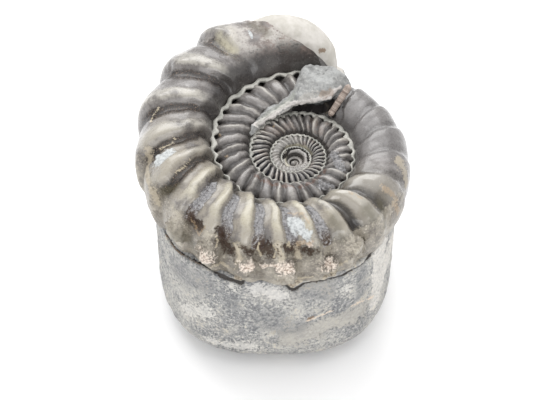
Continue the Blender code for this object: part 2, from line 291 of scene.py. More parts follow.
def noise(tree, place, scale, detail=2.0, roughness=0.5):
    inputs = {"Vector": place, "Scale": scale, "Detail": detail, "Roughness": roughness}
    return Wire(tree, add_node(tree, "ShaderNodeTexNoise", inputs).outputs[0])


def wander(growth, seed, scale, detail=2.0):
    """Noise along the coil, from -0.5 to 0.5 and different for each seed."""
    return noise(growth.tree, vector(growth.tree, growth, seed, 0.0), scale, detail) - 0.5


def vector(tree, x, y, z):
    return Wire(tree, add_node(tree, "ShaderNodeCombineXYZ", (x, y, z)).outputs[0])


def sign_power(wire, power):
    """A wire's size to a power, with its sign kept."""
    return wire.calc("SIGN") * wire.calc("ABSOLUTE") ** power


def crest_count(growth):
    """Rib crests passed at a growth angle. It is a whole number on each crest."""
    first = LAST_WHORL_CRESTS[0]
    knots = LAST_WHORL_CRESTS + (LAST_WHORL_CRESTS[-1] + AFTER_LAST_RIB,)
    core = (growth - CORE_RIBS_END).least(0.0) * (1 / CORE_RIB_SPACING)
    inner = (growth.least(INNER_RIBS_END) - INNER_RIBS_END).most(CORE_RIBS_END - INNER_RIBS_END)
    middle = (growth.least(first) - first).most(INNER_RIBS_END - first) * (1 / MIDDLE_RIB_SPACING)
    last = growth.along([(crest, float(number)) for number, crest in enumerate(knots)], "VECTOR")
    drift = wander(growth, 7.0, 1.4) * growth.ramp(*RIB_DRIFT_FADES) * RIB_DRIFT
    return core + inner * (1 / INNER_RIB_SPACING) + middle + last + drift


def seam_wire(growth):
    return (growth * GROWTH_PER_RADIAN).calc("EXPONENT") * SEAM_RADIUS_AT_ZERO


def new_geometry_tree(name, inputs):
    """Empty Geometry Nodes tree, its input node and the identifier of each named input."""
    tree = bpy.data.node_groups.new(name, "GeometryNodeTree")
    tree.interface.new_socket("Geometry", in_out="INPUT", socket_type="NodeSocketGeometry")
    tree.interface.new_socket("Geometry", in_out="OUTPUT", socket_type="NodeSocketGeometry")
    for label, kind in inputs:
        tree.interface.new_socket(label, in_out="INPUT", socket_type=kind)
    source = tree.nodes.new("NodeGroupInput")
    return tree, {label: Wire(tree, source.outputs[label]) for label, _ in inputs}


def lattice(tree, columns, rows):
    """Grid of points, with the column and the row of each point as wires."""
    inputs = {"Size X": columns - 1.0, "Size Y": rows - 1.0, "Vertices X": columns, "Vertices Y": rows}
    grid = Wire(tree, add_node(tree, "GeometryNodeMeshGrid", inputs).outputs["Mesh"])
    place = Wire(tree, add_node(tree, "GeometryNodeInputPosition").outputs[0])
    parts = add_node(tree, "ShaderNodeSeparateXYZ", (place,)).outputs
    column = Wire(tree, parts[0]) + (columns - 1.0) * 0.5
    row = Wire(tree, parts[1]) + (rows - 1.0) * 0.5
    return grid, column, row


def store(tree, mesh, name, value):
    """Keep a value on each point of the mesh under a name."""
    inputs = {"Geometry": mesh, "Name": name, "Value": value}
    node = add_node(tree, "GeometryNodeStoreNamedAttribute", inputs, data_type="FLOAT", domain="POINT")
    return Wire(tree, node.outputs["Geometry"])


def put_in_place(tree, mesh, place):
    """Move a lattice's points to their places and close its seam and its ends."""
    placed = add_node(tree, "GeometryNodeSetPosition", {"Geometry": mesh, "Position": place})
    inputs = {"Geometry": Wire(tree, placed.outputs[0]), "Distance": MERGE_DISTANCE}
    return Wire(tree, add_node(tree, "GeometryNodeMergeByDistance", inputs).outputs[0])


def end_tree(tree, mesh, material):
    """Close a tree: place the coil, make instances real and set the material."""
    moved = add_node(tree, "GeometryNodeTransform", {"Geometry": mesh})
    moved.inputs["Translation"].default_value = Vector(COIL_CENTRE) * MM
    moved.inputs["Rotation"].default_value = (COIL_TILT, 0.0, 0.0)
    moved.inputs["Scale"].default_value = (MM, MM, MM)
    real = add_node(tree, "GeometryNodeRealizeInstances", (Wire(tree, moved.outputs[0]),))
    inputs = {"Geometry": Wire(tree, real.outputs[0]), "Material": material}
    painted = add_node(tree, "GeometryNodeSetMaterial", inputs)
    smooth = add_node(tree, "GeometryNodeSetShadeSmooth", {"Geometry": Wire(tree, painted.outputs[0])})
    tree.links.new(smooth.outputs[0], tree.nodes.new("NodeGroupOutput").inputs[0])


def rib_relief(tree, growth, section, rib_height):
    """Crests passed, share of wear and rib relief in millimetres, at a place on the coil."""
    bend = (noise(tree, vector(tree, growth * 2.4, section * 0.022, 5.0), 1.0) - 0.5) * RIB_BEND
    count = crest_count(growth - section.along(SWEEP_BY_SECTION) + bend)
    phase = (count + 0.5).calc("FRACT") - 0.5
    late = growth.ramp(*OUTER_RIBS_FROM)
    turns = (count * math.pi).calc("COSINE") * 0.5 + 0.5
    paired = phase.along(SHARP_RIB) * turns + phase.along(BLUNT_RIB) * (1.0 - turns)
    profile = paired * (1.0 - late) + phase.along(OUTER_RIB) * late

    start, full, fading, end = WORN_GROWTHS
    worn = growth.ramp(start, full) * growth.ramp(fading, end, 1.0, 0.0)
    worn = worn * section.ramp(*WORN_SECTIONS, 1.0, 0.0) + growth.ramp(*WORN_END)

    strength = section.along(RELIEF_BY_SECTION) * growth.along(RELIEF_BY_GROWTH)
    strength = strength * (1.0 - worn * WEAR_ON_RIBS)
    uneven = wander(growth, 3.0, 2.6) * growth.ramp(*UNEVEN_RIBS)
    strength = strength * (uneven + 1.0).most(LOWEST_RIB)
    smoothed = growth.ramp(*SMOOTH_END) * section.ramp(*SMOOTH_END_SECTIONS) * SMOOTH_END_SHARE
    strength = strength * (1.0 - smoothed)
    return count, worn, profile * strength * rib_height * seam_wire(growth)


def swollen(tree, mesh, unevenness):
    """Mesh with soft swellings and small lumps, which are larger where the shell is worn."""
    here = Wire(tree, add_node(tree, "GeometryNodeInputPosition").outputs[0])
    lumps = named_value(tree, "worn") * 1.6 + 0.55
    swell = (noise(tree, here, 0.28) - 0.5) * 2.2 + (noise(tree, here, 1.1, 3.0, 0.55) - 0.5) * lumps
    amount = swell * unevenness * seam_wire(named_value(tree, "growth"))
    normal = Wire(tree, add_node(tree, "GeometryNodeInputNormal").outputs[0])
    push = add_node(tree, "ShaderNodeVectorMath", {0: normal, "Scale": amount}, operation="SCALE")
    inputs = {"Geometry": mesh, "Offset": Wire(tree, push.outputs[0])}
    return Wire(tree, add_node(tree, "GeometryNodeSetPosition", inputs).outputs[0])


def whorl_tree():
    """Stretch of the coil: a closed, ribbed tube that grows as it winds from one growth angle to another."""
    tree, size = new_geometry_tree("Ribbed whorl", (
        ("Start", "NodeSocketFloat"), ("End", "NodeSocketFloat"), ("Columns", "NodeSocketInt"),
        ("Rows", "NodeSocketInt"), ("Cap columns", "NodeSocketInt"),
        ("Lowest seen section", "NodeSocketFloat"), ("Seen rows share", "NodeSocketFloat"),
        ("Broken slant", "NodeSocketFloat"), ("Rib height", "NodeSocketFloat"),
        ("Unevenness", "NodeSocketFloat"), ("Material", "NodeSocketMaterial"),
    ))
    grid, column, row = lattice(tree, size["Columns"], size["Rows"])
    cap = size["Cap columns"]
    last_column = size["Columns"] - 1.0
    along = ((column - cap) / (last_column - cap * 2.0)).clamped()
    growth = size["Start"] + (size["End"] - size["Start"]) * along
    down = row / (size["Rows"] - 1.0)

    seen = size["Seen rows share"]
    lowest = size["Lowest seen section"]
    seen_part = (lowest - HIGHEST_SECTION) * (down / seen).clamped()
    hidden_part = (HIGHEST_SECTION - 360.0 - lowest) * ((down - seen) / (1.0 - seen)).clamped()
    section = HIGHEST_SECTION + seen_part + hidden_part

    reach = (1.0 - (size["End"] - growth) * (1 / EDGE_SLANT_REACH)).clamped()
    growth = growth - reach * reach * section.along(EDGE_SLANT) * size["Broken slant"]
    count, worn, relief = rib_relief(tree, growth, section, size["Rib height"])

    seam = seam_wire(growth)
    radians = section * (math.pi / 180)
    power = 2 / WHORL_SQUARENESS
    tube = ((column / cap).least((last_column - column) / cap)).clamped() ** 0.6
    across = (seam * WHORL_HALF_WIDTH + relief) * sign_power(radians.calc("COSINE"), power) * tube
    up = (seam * WHORL_HALF_HEIGHT + relief) * sign_power(radians.calc("SINE"), power) * tube
    radius = seam * WHORL_CENTRE + across
    sink = growth.ramp(*CORE_SINK, 0.0)
    place = coil_place(tree, growth, radius, up + sink)

    mesh = grid
    kept = {"growth": growth, "section": section, "crest": count, "relief": relief, "worn": worn}
    for name, value in kept.items():
        mesh = store(tree, mesh, name, value)
    mesh = swollen(tree, put_in_place(tree, mesh, place), size["Unevenness"])
    end_tree(tree, mesh, size["Material"])
    return tree


def coil_place(tree, growth, radius, height):
    """Place at a distance from the coil's axis, in the direction of a growth angle."""
    turn = math.pi - growth
    return vector(tree, radius * turn.calc("COSINE"), radius * turn.calc("SINE"), height)


def named_value(tree, name):
    node = add_node(tree, "GeometryNodeInputNamedAttribute", {"Name": name}, data_type="FLOAT")
    return Wire(tree, node.outputs["Attribute"])


def lip_tree():
    """Thin wavy rim of shell that stands along the seam between two whorls."""
    tree, size = new_geometry_tree("Seam lip", (
        ("Start", "NodeSocketFloat"), ("End", "NodeSocketFloat"), ("Columns", "NodeSocketInt"),
        ("Rows", "NodeSocketInt"), ("Thickness", "NodeSocketFloat"), ("Height", "NodeSocketFloat"),
        ("Waviness", "NodeSocketFloat"), ("Material", "NodeSocketMaterial"),
    ))
    grid, column, row = lattice(tree, size["Columns"], size["Rows"])
    along = (column / (size["Columns"] - 1.0)).clamped()
    growth = size["Start"] + (size["End"] - size["Start"]) * along
    seam = seam_wire(growth)
    ripple = (crest_count(growth - 2 * math.pi + 0.03) * (2 * math.pi)).calc("COSINE")
    drift = wander(growth, 0.0, 2.3, 3.0)
    fine = wander(growth, 4.0, 9.0)
    ends = (along * 60.0).least((1.0 - along) * 90.0).clamped() ** 0.5
    ragged = (drift * 1.8 + fine * 1.6 + 1.15).most(0.3)
    width = growth.along(LIP_WIDTH) * size["Thickness"] * ends * ragged * (ripple * 0.22 + 1.0)
    height = size["Height"] * (seam * 0.4 + 3.0) * ends * (fine * 0.8 + 1.0)
    round_it = row * (2 * math.pi / (LIP_ROWS - 1))
    side = sign_power(round_it.calc("COSINE"), LIP_SQUARENESS) * width
    lift = sign_power(round_it.calc("SINE"), LIP_SQUARENESS) * height
    radius = seam * (0.995 - ripple * size["Waviness"] + drift * 0.015) - width * 0.5 + side - lift * 0.3
    level = seam * (SEAM_RISE + 0.012) + lift
    mesh = store(tree, grid, "growth", growth)
    mesh = put_in_place(tree, mesh, coil_place(tree, growth, radius, level))
    end_tree(tree, mesh, size["Material"])
    return tree


def grain_tree():
    """Geometry Nodes tree that keeps a coarse and a fine noise value on each point of a mesh."""
    tree = bpy.data.node_groups.get("Keep grain")
    if tree is None:
        tree, size = new_geometry_tree("Keep grain", (
            ("Coarse scale", "NodeSocketFloat"), ("Fine scale", "NodeSocketFloat")))
        source = next(node for node in tree.nodes if node.type == "GROUP_INPUT")
        mesh = Wire(tree, source.outputs["Geometry"])
        here = Wire(tree, add_node(tree, "GeometryNodeInputPosition").outputs[0])
        mesh = store(tree, mesh, "coarse", noise(tree, here, size["Coarse scale"], 2.0, 0.5))
        mesh = store(tree, mesh, "fine", noise(tree, here, size["Fine scale"], 2.0, 0.5))
        tree.links.new(mesh.socket, tree.nodes.new("NodeGroupOutput").inputs[0])
    return tree


def set_inputs(modifier, values):
    """Give a Geometry Nodes modifier its inputs by their names."""
    for item in modifier.node_group.interface.items_tree:
        if item.item_type == "SOCKET" and item.name in values:
            modifier[item.identifier] = values[item.name]


def give_grain(piece, coarse=1.0, fine=3.2):
    """Keep noise values on a piece's points, at scales in waves per millimetre."""
    modifier = piece.modifiers.new("Grain", "NODES")
    modifier.node_group = grain_tree()
    set_inputs(modifier, {"Coarse scale": coarse / MM, "Fine scale": fine / MM})
    apply_modifiers(piece)


def grow(tree, name, values):
    """Plain mesh object made by a Geometry Nodes tree with the values given to its named inputs."""
    carrier = bpy.data.objects.new(name, bpy.data.meshes.new(name + "_start"))
    bpy.context.scene.collection.objects.link(carrier)
    modifier = carrier.modifiers.new("Grow", "NODES")
    modifier.node_group = tree
    set_inputs(modifier, values)
    apply_modifiers(carrier)
    carrier.data.name = name
    return carrier


def facing_out(mesh):
    """Turn a closed mesh's faces so that they all point outwards."""
    data = bmesh.new()
    data.from_mesh(mesh)
    bmesh.ops.recalc_face_normals(data, faces=data.faces)
    if data.calc_volume(signed=True) < 0:
        bmesh.ops.reverse_faces(data, faces=data.faces)
    data.to_mesh(mesh)
    data.free()


def points_of(mesh):
    places = np.empty(len(mesh.vertices) * 3)
    mesh.vertices.foreach_get("co", places)
    return places.reshape(-1, 3)


def normals_of(mesh):
    normals = np.empty(len(mesh.vertices) * 3)
    mesh.vertices.foreach_get("normal", normals)
    return normals.reshape(-1, 3)


def values_of(mesh, name):
    values = np.empty(len(mesh.vertices))
    mesh.attributes[name].data.foreach_get("value", values)
    return values


def keep_values(mesh, name, values):
    layer = mesh.attributes.get(name) or mesh.attributes.new(name, "FLOAT", "POINT")
    layer.data.foreach_set("value", np.asarray(values, np.float32))


def put_points(mesh, places):
    """Move a mesh's points, none of them past the CAD model's box."""
    low, high = (np.array(corner) for corner in CAD_BOX)
    mesh.vertices.foreach_set("co", np.clip(places, low, high).ravel())
    mesh.update()


def camera_axes():
    """The camera's place in millimetres and its right, up and forward directions."""
    right = Vector((1.0, 0.0, 0.0))
    up = Vector((0.0, math.sin(CAMERA_ELEVATION), math.cos(CAMERA_ELEVATION)))
    forward = Vector((0.0, math.cos(CAMERA_ELEVATION), -math.sin(CAMERA_ELEVATION)))
    offset = right * CAMERA_SHIFT[0] + up * CAMERA_SHIFT[1] - forward * CAMERA_DISTANCE
    return Vector(COIL_CENTRE) + offset * MM_PER_PIXEL, right, up, forward


def surface_under(mesh):
    """Function that carries a pixel of the picture onto a mesh, as a place in millimetres."""
    places = points_of(mesh)
    faces = [tuple(face.vertices) for face in mesh.polygons]
    tree = BVHTree.FromPolygons([Vector(place) for place in places], faces)
    place, right, up, forward = camera_axes()

    def carry(pixel):
        across = (pixel[0] - PICTURE_MIDDLE[0]) / CAMERA_DISTANCE
        rise = (PICTURE_MIDDLE[1] - pixel[1]) / CAMERA_DISTANCE
        direction = (forward + right * across + up * rise).normalized()
        hit = tree.ray_cast(place * MM, direction)[0]
        return None if hit is None else np.array(hit) / MM

    return carry


def near_path(places, path, radius):
    """Share from 1 on a path of points to 0 at a distance of radius from it."""
    nearest = np.full(len(places), np.inf)
    for start, end in zip(path, path[1:] or path):
        span = end - start
        length = float(span @ span)
        share = np.clip((places - start) @ span / length, 0, 1) if length else np.zeros(len(places))
        away = places - start - share[:, None] * span
        nearest = np.minimum(nearest, np.sqrt((away * away).sum(1)))
    return np.clip(1 - nearest / radius, 0, 1)


def mark_shares(mesh, marks):
    """Share of each kind of mark on each point of a mesh. A mark is its kind, radius and pixels."""
    carry = surface_under(mesh)
    places = points_of(mesh) / MM
    wobble = np.clip(values_of(mesh, "coarse") * 2.2 - 0.1, 0.35, 2) * (0.7 + 0.6 * values_of(mesh, "fine"))
    shares = {}
    for kind, radius, *pixels in marks:
        path = [place for place in map(carry, pixels) if place is not None]
        if path:
            share = near_path(places, path, radius * wobble)
            shares[kind] = np.maximum(shares.get(kind, 0.0), share)
    return shares


def new_material(name):
    """Material with an empty Principled shader, ready for its nodes."""
    material = bpy.data.materials.new(name)
    material.use_nodes = True
    return material, material.node_tree, material.node_tree.nodes["Principled BSDF"]


def attribute(tree, name):
    return Wire(tree, add_node(tree, "ShaderNodeAttribute", attribute_name=name).outputs["Fac"])


def paint(tree, share, below, above):
    """Colour that changes from one to another with a share."""
    node = add_node(tree, "ShaderNodeMix", {0: share, 6: below, 7: above}, data_type="RGBA")
    return Wire(tree, node.outputs[2])


def layered(tree, base, coats):
    """Base colour with coats laid over it in order. A coat is its share and its colour."""
    for share, tint in coats:
        base = paint(tree, share, base, tint)
    return base


def colour(red, green, blue):
    """Colour from its screen values of 0 to 255."""
    def linear(value):
        value /= 255
        return value / 12.92 if value <= 0.04045 else ((value + 0.055) / 1.055) ** 2.4
    return (linear(red), linear(green), linear(blue), 1.0)


def bump(tree, height, distance):
    inputs = {"Height": height, "Distance": distance}
    return Wire(tree, add_node(tree, "ShaderNodeBump", inputs).outputs[0])


def finish_shader(tree, shader, base, roughness, normal):
    for name, value in (("Base Color", base), ("Roughness", roughness), ("Normal", normal)):
        tree.links.new(value.socket, shader.inputs[name])


def new_shader_group(name, inputs, outputs):
    """Empty shader group, its input wires by name and a function that feeds one of its outputs."""
    tree = bpy.data.node_groups.new(name, "ShaderNodeTree")
    for label in inputs:
        tree.interface.new_socket(label, in_out="INPUT", socket_type="NodeSocketFloat")
    for label in outputs:
        tree.interface.new_socket(label, in_out="OUTPUT", socket_type="NodeSocketFloat")
    source = tree.nodes.new("NodeGroupInput")
    target = tree.nodes.new("NodeGroupOutput")

    def give(label, wire):
        tree.links.new(wire.socket, target.inputs[label])

    return tree, {label: Wire(tree, source.outputs[label]) for label in inputs}, give


def grain_group():
    """Group with the mineral's clouds, specks and grains, from coarse to fine."""
    tree = bpy.data.node_groups.get("Mineral grain")
    if tree is None:
        tree, size, give = new_shader_group("Mineral grain", ("Scale",), ("Cloud", "Speck", "Grain"))
        place = Wire(tree, tree.nodes.new("ShaderNodeTexCoord").outputs["Object"])
        scaled = add_node(tree, "ShaderNodeVectorMath", {0: place, "Scale": size["Scale"] * (1 / MM)},
                          operation="SCALE")
        place = Wire(tree, scaled.outputs[0])
        give("Cloud", noise(tree, place, 0.35, 4.0, 0.6))
        give("Speck", noise(tree, place, 2.4, 4.0, 0.65))
        give("Grain", noise(tree, place, 6.5, 3.0, 0.65))
    return tree


def ragged_group():
    """Group that turns a mark's soft share into a patch with a ragged edge."""
    tree = bpy.data.node_groups.get("Ragged patch")
    if tree is None:
        inputs = ("Share", "Speck", "Grain", "Raggedness")
        tree, size, give = new_shader_group("Ragged patch", inputs, ("Patch",))
        broken = (size["Speck"] - 0.5) * 1.9 + (size["Grain"] - 0.5) * 1.3
        edge = size["Share"] * 1.5 + broken * size["Raggedness"]
        give("Patch", edge.ramp(0.42, 0.78) * size["Share"].ramp(0.0, 0.15))
    return tree


def grains(tree, scale=1.0):
    """Cloud, speck and grain wires of the shared mineral group."""
    node = tree.nodes.new("ShaderNodeGroup")
    node.node_tree = grain_group()
    node.inputs["Scale"].default_value = scale
    return [Wire(tree, node.outputs[label]) for label in ("Cloud", "Speck", "Grain")]


def patch(tree, share, speck, grain, raggedness):
    node = tree.nodes.new("ShaderNodeGroup")
    node.node_tree = ragged_group()
    for label, wire in (("Share", share), ("Speck", speck), ("Grain", grain)):
        tree.links.new(wire.socket, node.inputs[label])
    node.inputs["Raggedness"].default_value = raggedness
    return Wire(tree, node.outputs["Patch"])


def painted_marks(tree, base, speck, grain, marks):
    """Base colour with the ragged patches of several kinds of mark laid over it, and their shares."""
    patches = {}
    for kind, raggedness, strength, tint in marks:
        patches[kind] = patch(tree, attribute(tree, kind), speck, grain, raggedness)
        base = paint(tree, patches[kind] * strength, base, tint)
    return base, patches


def worn_crust(tree, cloud, speck, grain, level, low_rim):
    """Colour of the rough brown and cream crust on the worn rim."""
    mixed = cloud * 0.3 + speck * 0.7
    return layered(tree, paint(tree, cloud.ramp(0.4, 0.6), colour(102, 95, 84), colour(138, 131, 118)), (
        ((mixed + level * 0.25).ramp(0.5, 0.64) * 0.6, colour(174, 166, 150)),
        (mixed.ramp(0.45, 0.36) * (0.85 - low_rim * 0.5), colour(60, 49, 41)),
        ((grain * 0.7 + speck * 0.3).ramp(0.55, 0.63) * (0.7 - low_rim * 0.3), colour(222, 213, 198)),
    ))


def furrow_rock(tree, cloud, speck, grain, section):
    """Colour of the grey, speckled rock that is left in the front furrows."""
    height = (section + (cloud - 0.5) * 60.0).ramp(44.0, 70.0)
    return layered(tree, paint(tree, height, colour(74, 60, 50), colour(132, 131, 133)), (
        (speck.ramp(0.5, 0.62) * 0.8, colour(166, 165, 166)),
        (grain.ramp(0.57, 0.66) * 0.6, colour(212, 208, 200)),
        ((grain * 0.4 + speck * 0.6).ramp(0.47, 0.38) * 0.85, colour(54, 44, 40)),
    ))


def broken_end(tree, cloud, speck):
    """Colour of the mottled shell at the whorl's broken end."""
    mottled = (speck * 0.35 + cloud * 0.65).ramp(0.43, 0.56)
    mottled = paint(tree, mottled, colour(128, 112, 104), colour(188, 183, 177))
    return paint(tree, speck.ramp(0.44, 0.34) * 0.5, mottled, colour(86, 74, 68))


def shell_finish(name):
    """Polished grey-brown calcite: crests paler, partly by painted highlight, furrows darkened by painted
    shade, a worn crust and rock left in the furrows.
    """
    material, tree, shader = new_material(name)
    crest, section, level, worn, growth = (
        attribute(tree, label) for label in ("crest", "section", "level", "worn", "growth"))
    cloud, speck, grain = grains(tree)
    lines = noise(tree, vector(tree, crest * 9.0, section * 0.02, 0.0), 1.0, 4.0, 0.6)
    dashes = noise(tree, vector(tree, crest * 1.6, section * 0.06, 2.0), 1.0)

    # Zones of the shell, from the growth and section angles.
    early = growth.ramp(7.4, 6.2)
    core = growth.ramp(2.4, 1.4)
    glossy = growth.ramp(16.0, 16.4) * growth.ramp(17.1, 16.8) * section.ramp(20.0, 45.0)
    front = growth.ramp(16.5, 17.0) * growth.ramp(19.3, 18.5) * section.ramp(25.0, 50.0)
    right = growth.ramp(16.2, 15.7) * growth.ramp(14.2, 14.6)
    low_rim = section.ramp(22.0, 4.0)
    end = (growth + (cloud - 0.5) * 1.6).ramp(19.8, 20.3)
    # Where painted shade darkens the whorl's wall beside the seam.
    wall = section + (speck - 0.5) * 30.0 + growth.ramp(19.0, 19.6) * 14.0
    wall = (wall + (cloud - 0.5) * end * 40.0).ramp(122.0, 146.0)

    # Crests, furrows and wear, from the ribs' level. The crests get a painted highlight over their pale colour
    # and the furrows get painted shade.
    high = (level + (speck - 0.5) * 0.5 + (lines - 0.5) * 0.6).ramp(0.1, 0.5) * cloud.ramp(0.34, 0.52)
    low = (level + (speck - 0.5) * 0.4 + (lines - 0.5) * 0.3).ramp(0.0, -0.42)
    shaded = section.ramp(72.0, 34.0) * 0.6 + growth.ramp(14.6, 15.6) * 0.4
    shaded = shaded + growth.ramp(14.6, 14.2) * 0.28 + 0.42
    # Dark ovals in the furrows of the early whorls: painted shade.
    oval_shade = low * early * section.ramp(24.0, 48.0) * section.ramp(142.0, 112.0) * (1.0 - core * 0.6)
    worn = (worn * 1.6 + (speck - 0.5) * 1.4).ramp(0.35, 0.9)
    cream = attribute(tree, "cream") * (speck * 0.9 + cloud * 0.9)

    # Olive shell of the glossy stretch, darker in the furrows as painted shade and paler on the crests as
    # painted highlight.
    polished = paint(tree, level.ramp(-0.2, 0.4), colour(90, 83, 71), colour(152, 147, 135))
    scuffed = (speck * 0.5 + grain * 0.5).ramp(0.43, 0.55)
    scuffed = paint(tree, scuffed, colour(158, 136, 120), colour(232, 220, 208))
    chalky = paint(tree, speck.ramp(0.38, 0.56), colour(156, 159, 160), colour(195, 198, 198))
    crust = worn_crust(tree, cloud, speck, grain, level, low_rim)
    rocky = furrow_rock(tree, cloud, speck, grain, section)
    base = layered(tree, paint(tree, cloud.ramp(0.35, 0.65), colour(100, 96, 94), colour(138, 134, 132)), (
        (lines.ramp(0.38, 0.68) * 0.45, colour(76, 69, 65)),
        (cloud.ramp(0.5, 0.62) * growth.ramp(10.0, 8.5) * 0.5, colour(112, 94, 82)),
        # Pale rib crests: partly the pale calcite, partly a painted highlight.
        (high * 0.55, colour(186, 182, 173)),
        (glossy * 0.75, polished),
        (front * cloud.ramp(0.3, 0.6) * 0.6, colour(142, 134, 118)),
        (right * 0.6, colour(100, 98, 98)),
        # Pale crests of the early whorls: partly their own colour, partly a painted highlight.
        (level.ramp(0.15, 0.42) * early * 0.5, colour(196, 192, 184)),
        # Painted shade in the furrows.
        (low * shaded.least(0.96) * (1.0 - core * 0.5), colour(30, 27, 26)),
        (low * growth.ramp(17.9, 18.3) * grain.ramp(0.58, 0.66) * 0.7, colour(170, 138, 116)),
        # Painted shade in the dark ovals of the early whorls' furrows.
        (oval_shade * speck.ramp(0.3, 0.5), colour(24, 27, 32)),
        (core * 0.6, colour(158, 155, 150)),
        (dashes.ramp(0.56, 0.66) * core * growth.ramp(-5.5, -4.0) * 0.7, colour(66, 66, 68)),
        (worn * 0.85, crust),
        (end * 0.9, broken_end(tree, cloud, speck)),
        # Painted shade on the whorl's wall beside the seam.
        (wall * growth.along(WALL_SHADE), colour(34, 30, 29)),
        (grain.ramp(0.64, 0.72) * 0.4, colour(214, 206, 190)),
        (cream.ramp(0.08, 0.95) * 0.75, colour(186, 180, 158)),
        (attribute(tree, "olive").ramp(0.0, 1.0) * 0.6, colour(80, 75, 58)),
    ))
    base, patches = painted_marks(tree, base, speck, grain, (
        ("rock", 0.7, 1.0, rocky),
        ("fleck", 1.6, 0.5, colour(192, 180, 158)),
        ("rust", 1.2, 0.7, colour(92, 66, 54)),
        ("pit", 2.6, 0.85, colour(58, 44, 37)),
        ("scuff", 1.7, 0.85, scuffed),
        ("gold", 1.8, 0.5, colour(164, 142, 114)),
        ("crust", 1.9, 0.75, colour(196, 184, 160)),
        ("chalk", 0.5, 0.95, chalky),
        # Dark marks are painted shade in hollows and grooves.
        ("dark", 0.7, 0.95, colour(30, 27, 27)),
    ))
    rough = patches["rock"] + patches["scuff"] + patches["chalk"] * 0.5 + patches["dark"] + patches["pit"]
    rough = (rough + patches["fleck"] * 0.5 + worn * 0.3 + end * 0.7 + oval_shade * 0.7).clamped()
    matte = (oval_shade + patches["dark"] + patches["pit"] + low * shaded * 0.6).clamped()
    roughness = speck.ramp(0.3, 0.7, 0.2, 0.4) * (1.0 - glossy * 0.4) + rough * 0.4
    height = grain * (rough * 2.0 + 0.3) + speck * worn * 2.6 + lines * (0.5 - glossy * 0.4)
    finish_shader(tree, shader, base, roughness, bump(tree, height, 0.00007))
    shader.inputs["Coat Roughness"].default_value = 0.1
    coat = (1.0 - rough) * (1.0 - matte) * (glossy * 0.5 + 0.4)
    tree.links.new(coat.socket, shader.inputs["Coat Weight"])
    tree.links.new((0.5 - matte * 0.4).socket, shader.inputs["Specular IOR Level"])
    return material


def lip_finish(name):
    """Pale grey-green edge of shell."""
    material, tree, shader = new_material(name)
    cloud, speck, grain = grains(tree, 1.2)
    base = paint(tree, cloud.ramp(0.35, 0.65), colour(146, 146, 140), colour(186, 184, 177))
    base = paint(tree, speck.ramp(0.5, 0.7) * 0.5, base, colour(104, 98, 86))
    base = paint(tree, grain.ramp(0.58, 0.7) * 0.5, base, colour(214, 208, 190))
    finish_shader(tree, shader, base, grain.ramp(0.3, 0.7, 0.35, 0.55), bump(tree, grain, 0.00004))
    return material


def stone_finish(name, grey):
    """Dull blue-grey limestone with white and yellow-brown specks."""
    material, tree, shader = new_material(name)
    cloud, speck, grain = grains(tree, 0.95)
    fine = grains(tree, 1.7)[2]
    broad = grains(tree, 0.28)[0]
    blotch = cloud * 0.3 + speck * 0.7
    base = paint(tree, (cloud * 0.5 + broad * 0.5).ramp(0.4, 0.6), grey, colour(156, 155, 152))
    base = paint(tree, (blotch * 0.75 + broad * 0.25).ramp(0.5, 0.57) * 0.6, base, colour(188, 186, 181))
    base = paint(tree, (blotch * 0.75 + broad * 0.25).ramp(0.49, 0.42) * 0.65, base, colour(90, 91, 95))
    facet = patch(tree, attribute(tree, "facet"), speck, grain, 0.5) * (speck * 0.9 + 0.4).clamped()
    base = paint(tree, facet * 0.8, base, colour(206, 202, 196))
    base = paint(tree, (grain * 0.6 + speck * 0.4).ramp(0.53, 0.62) * 0.75, base, colour(218, 214, 204))
    base = paint(tree, (grain * 0.6 + speck * 0.4).ramp(0.46, 0.37) * 0.75, base, colour(70, 73, 78))
    base = paint(tree, fine.ramp(0.58, 0.68) * 0.4, base, colour(206, 196, 176))
    chipped = paint(tree, speck.ramp(0.42, 0.58), colour(112, 100, 84), colour(176, 166, 148))
    pale_hump = paint(tree, cloud.ramp(0.4, 0.6), colour(198, 194, 188), colour(182, 178, 170))
    warm = (speck * 0.5 + cloud * 0.5 + grain * 0.5).ramp(0.82, 0.92)
    base = paint(tree, warm * 0.5, base, colour(176, 158, 122))
    base, patches = painted_marks(tree, base, speck, grain, (
        ("warm", 0.9, 0.65, colour(164, 160, 152)),
        ("shade", 1.6, 0.4, colour(98, 100, 104)),
        ("pale", 2.2, 0.5, colour(206, 203, 197)),
        ("chalk", 1.3, 0.6, colour(200, 197, 193)),
        ("tooth", 0.5, 0.9, chipped),
        ("hump", 0.3, 0.96, pale_hump),
        ("brown", 1.2, 0.85, colour(118, 96, 74)),
        ("line", 1.2, 0.8, colour(212, 196, 178)),
        # Dark marks: painted shadow in the gap where the shell rests on the stone, over a shallow groove.
        ("dark", 0.8, 0.95, colour(38, 32, 28)),
    ))
    smooth = patches["hump"] + patches["chalk"] * 0.6 + patches["pale"] * 0.5
    smooth = (smooth + facet * 0.8 + patches["warm"] * 0.6).least(1.0)
    height = (speck * 0.8 + grain * 0.6 + fine * 0.3) * (1.0 - smooth * 0.75)
    finish_shader(tree, shader, base, grain.ramp(0.3, 0.7, 0.6, 0.85), bump(tree, height, 0.00018))
    return material


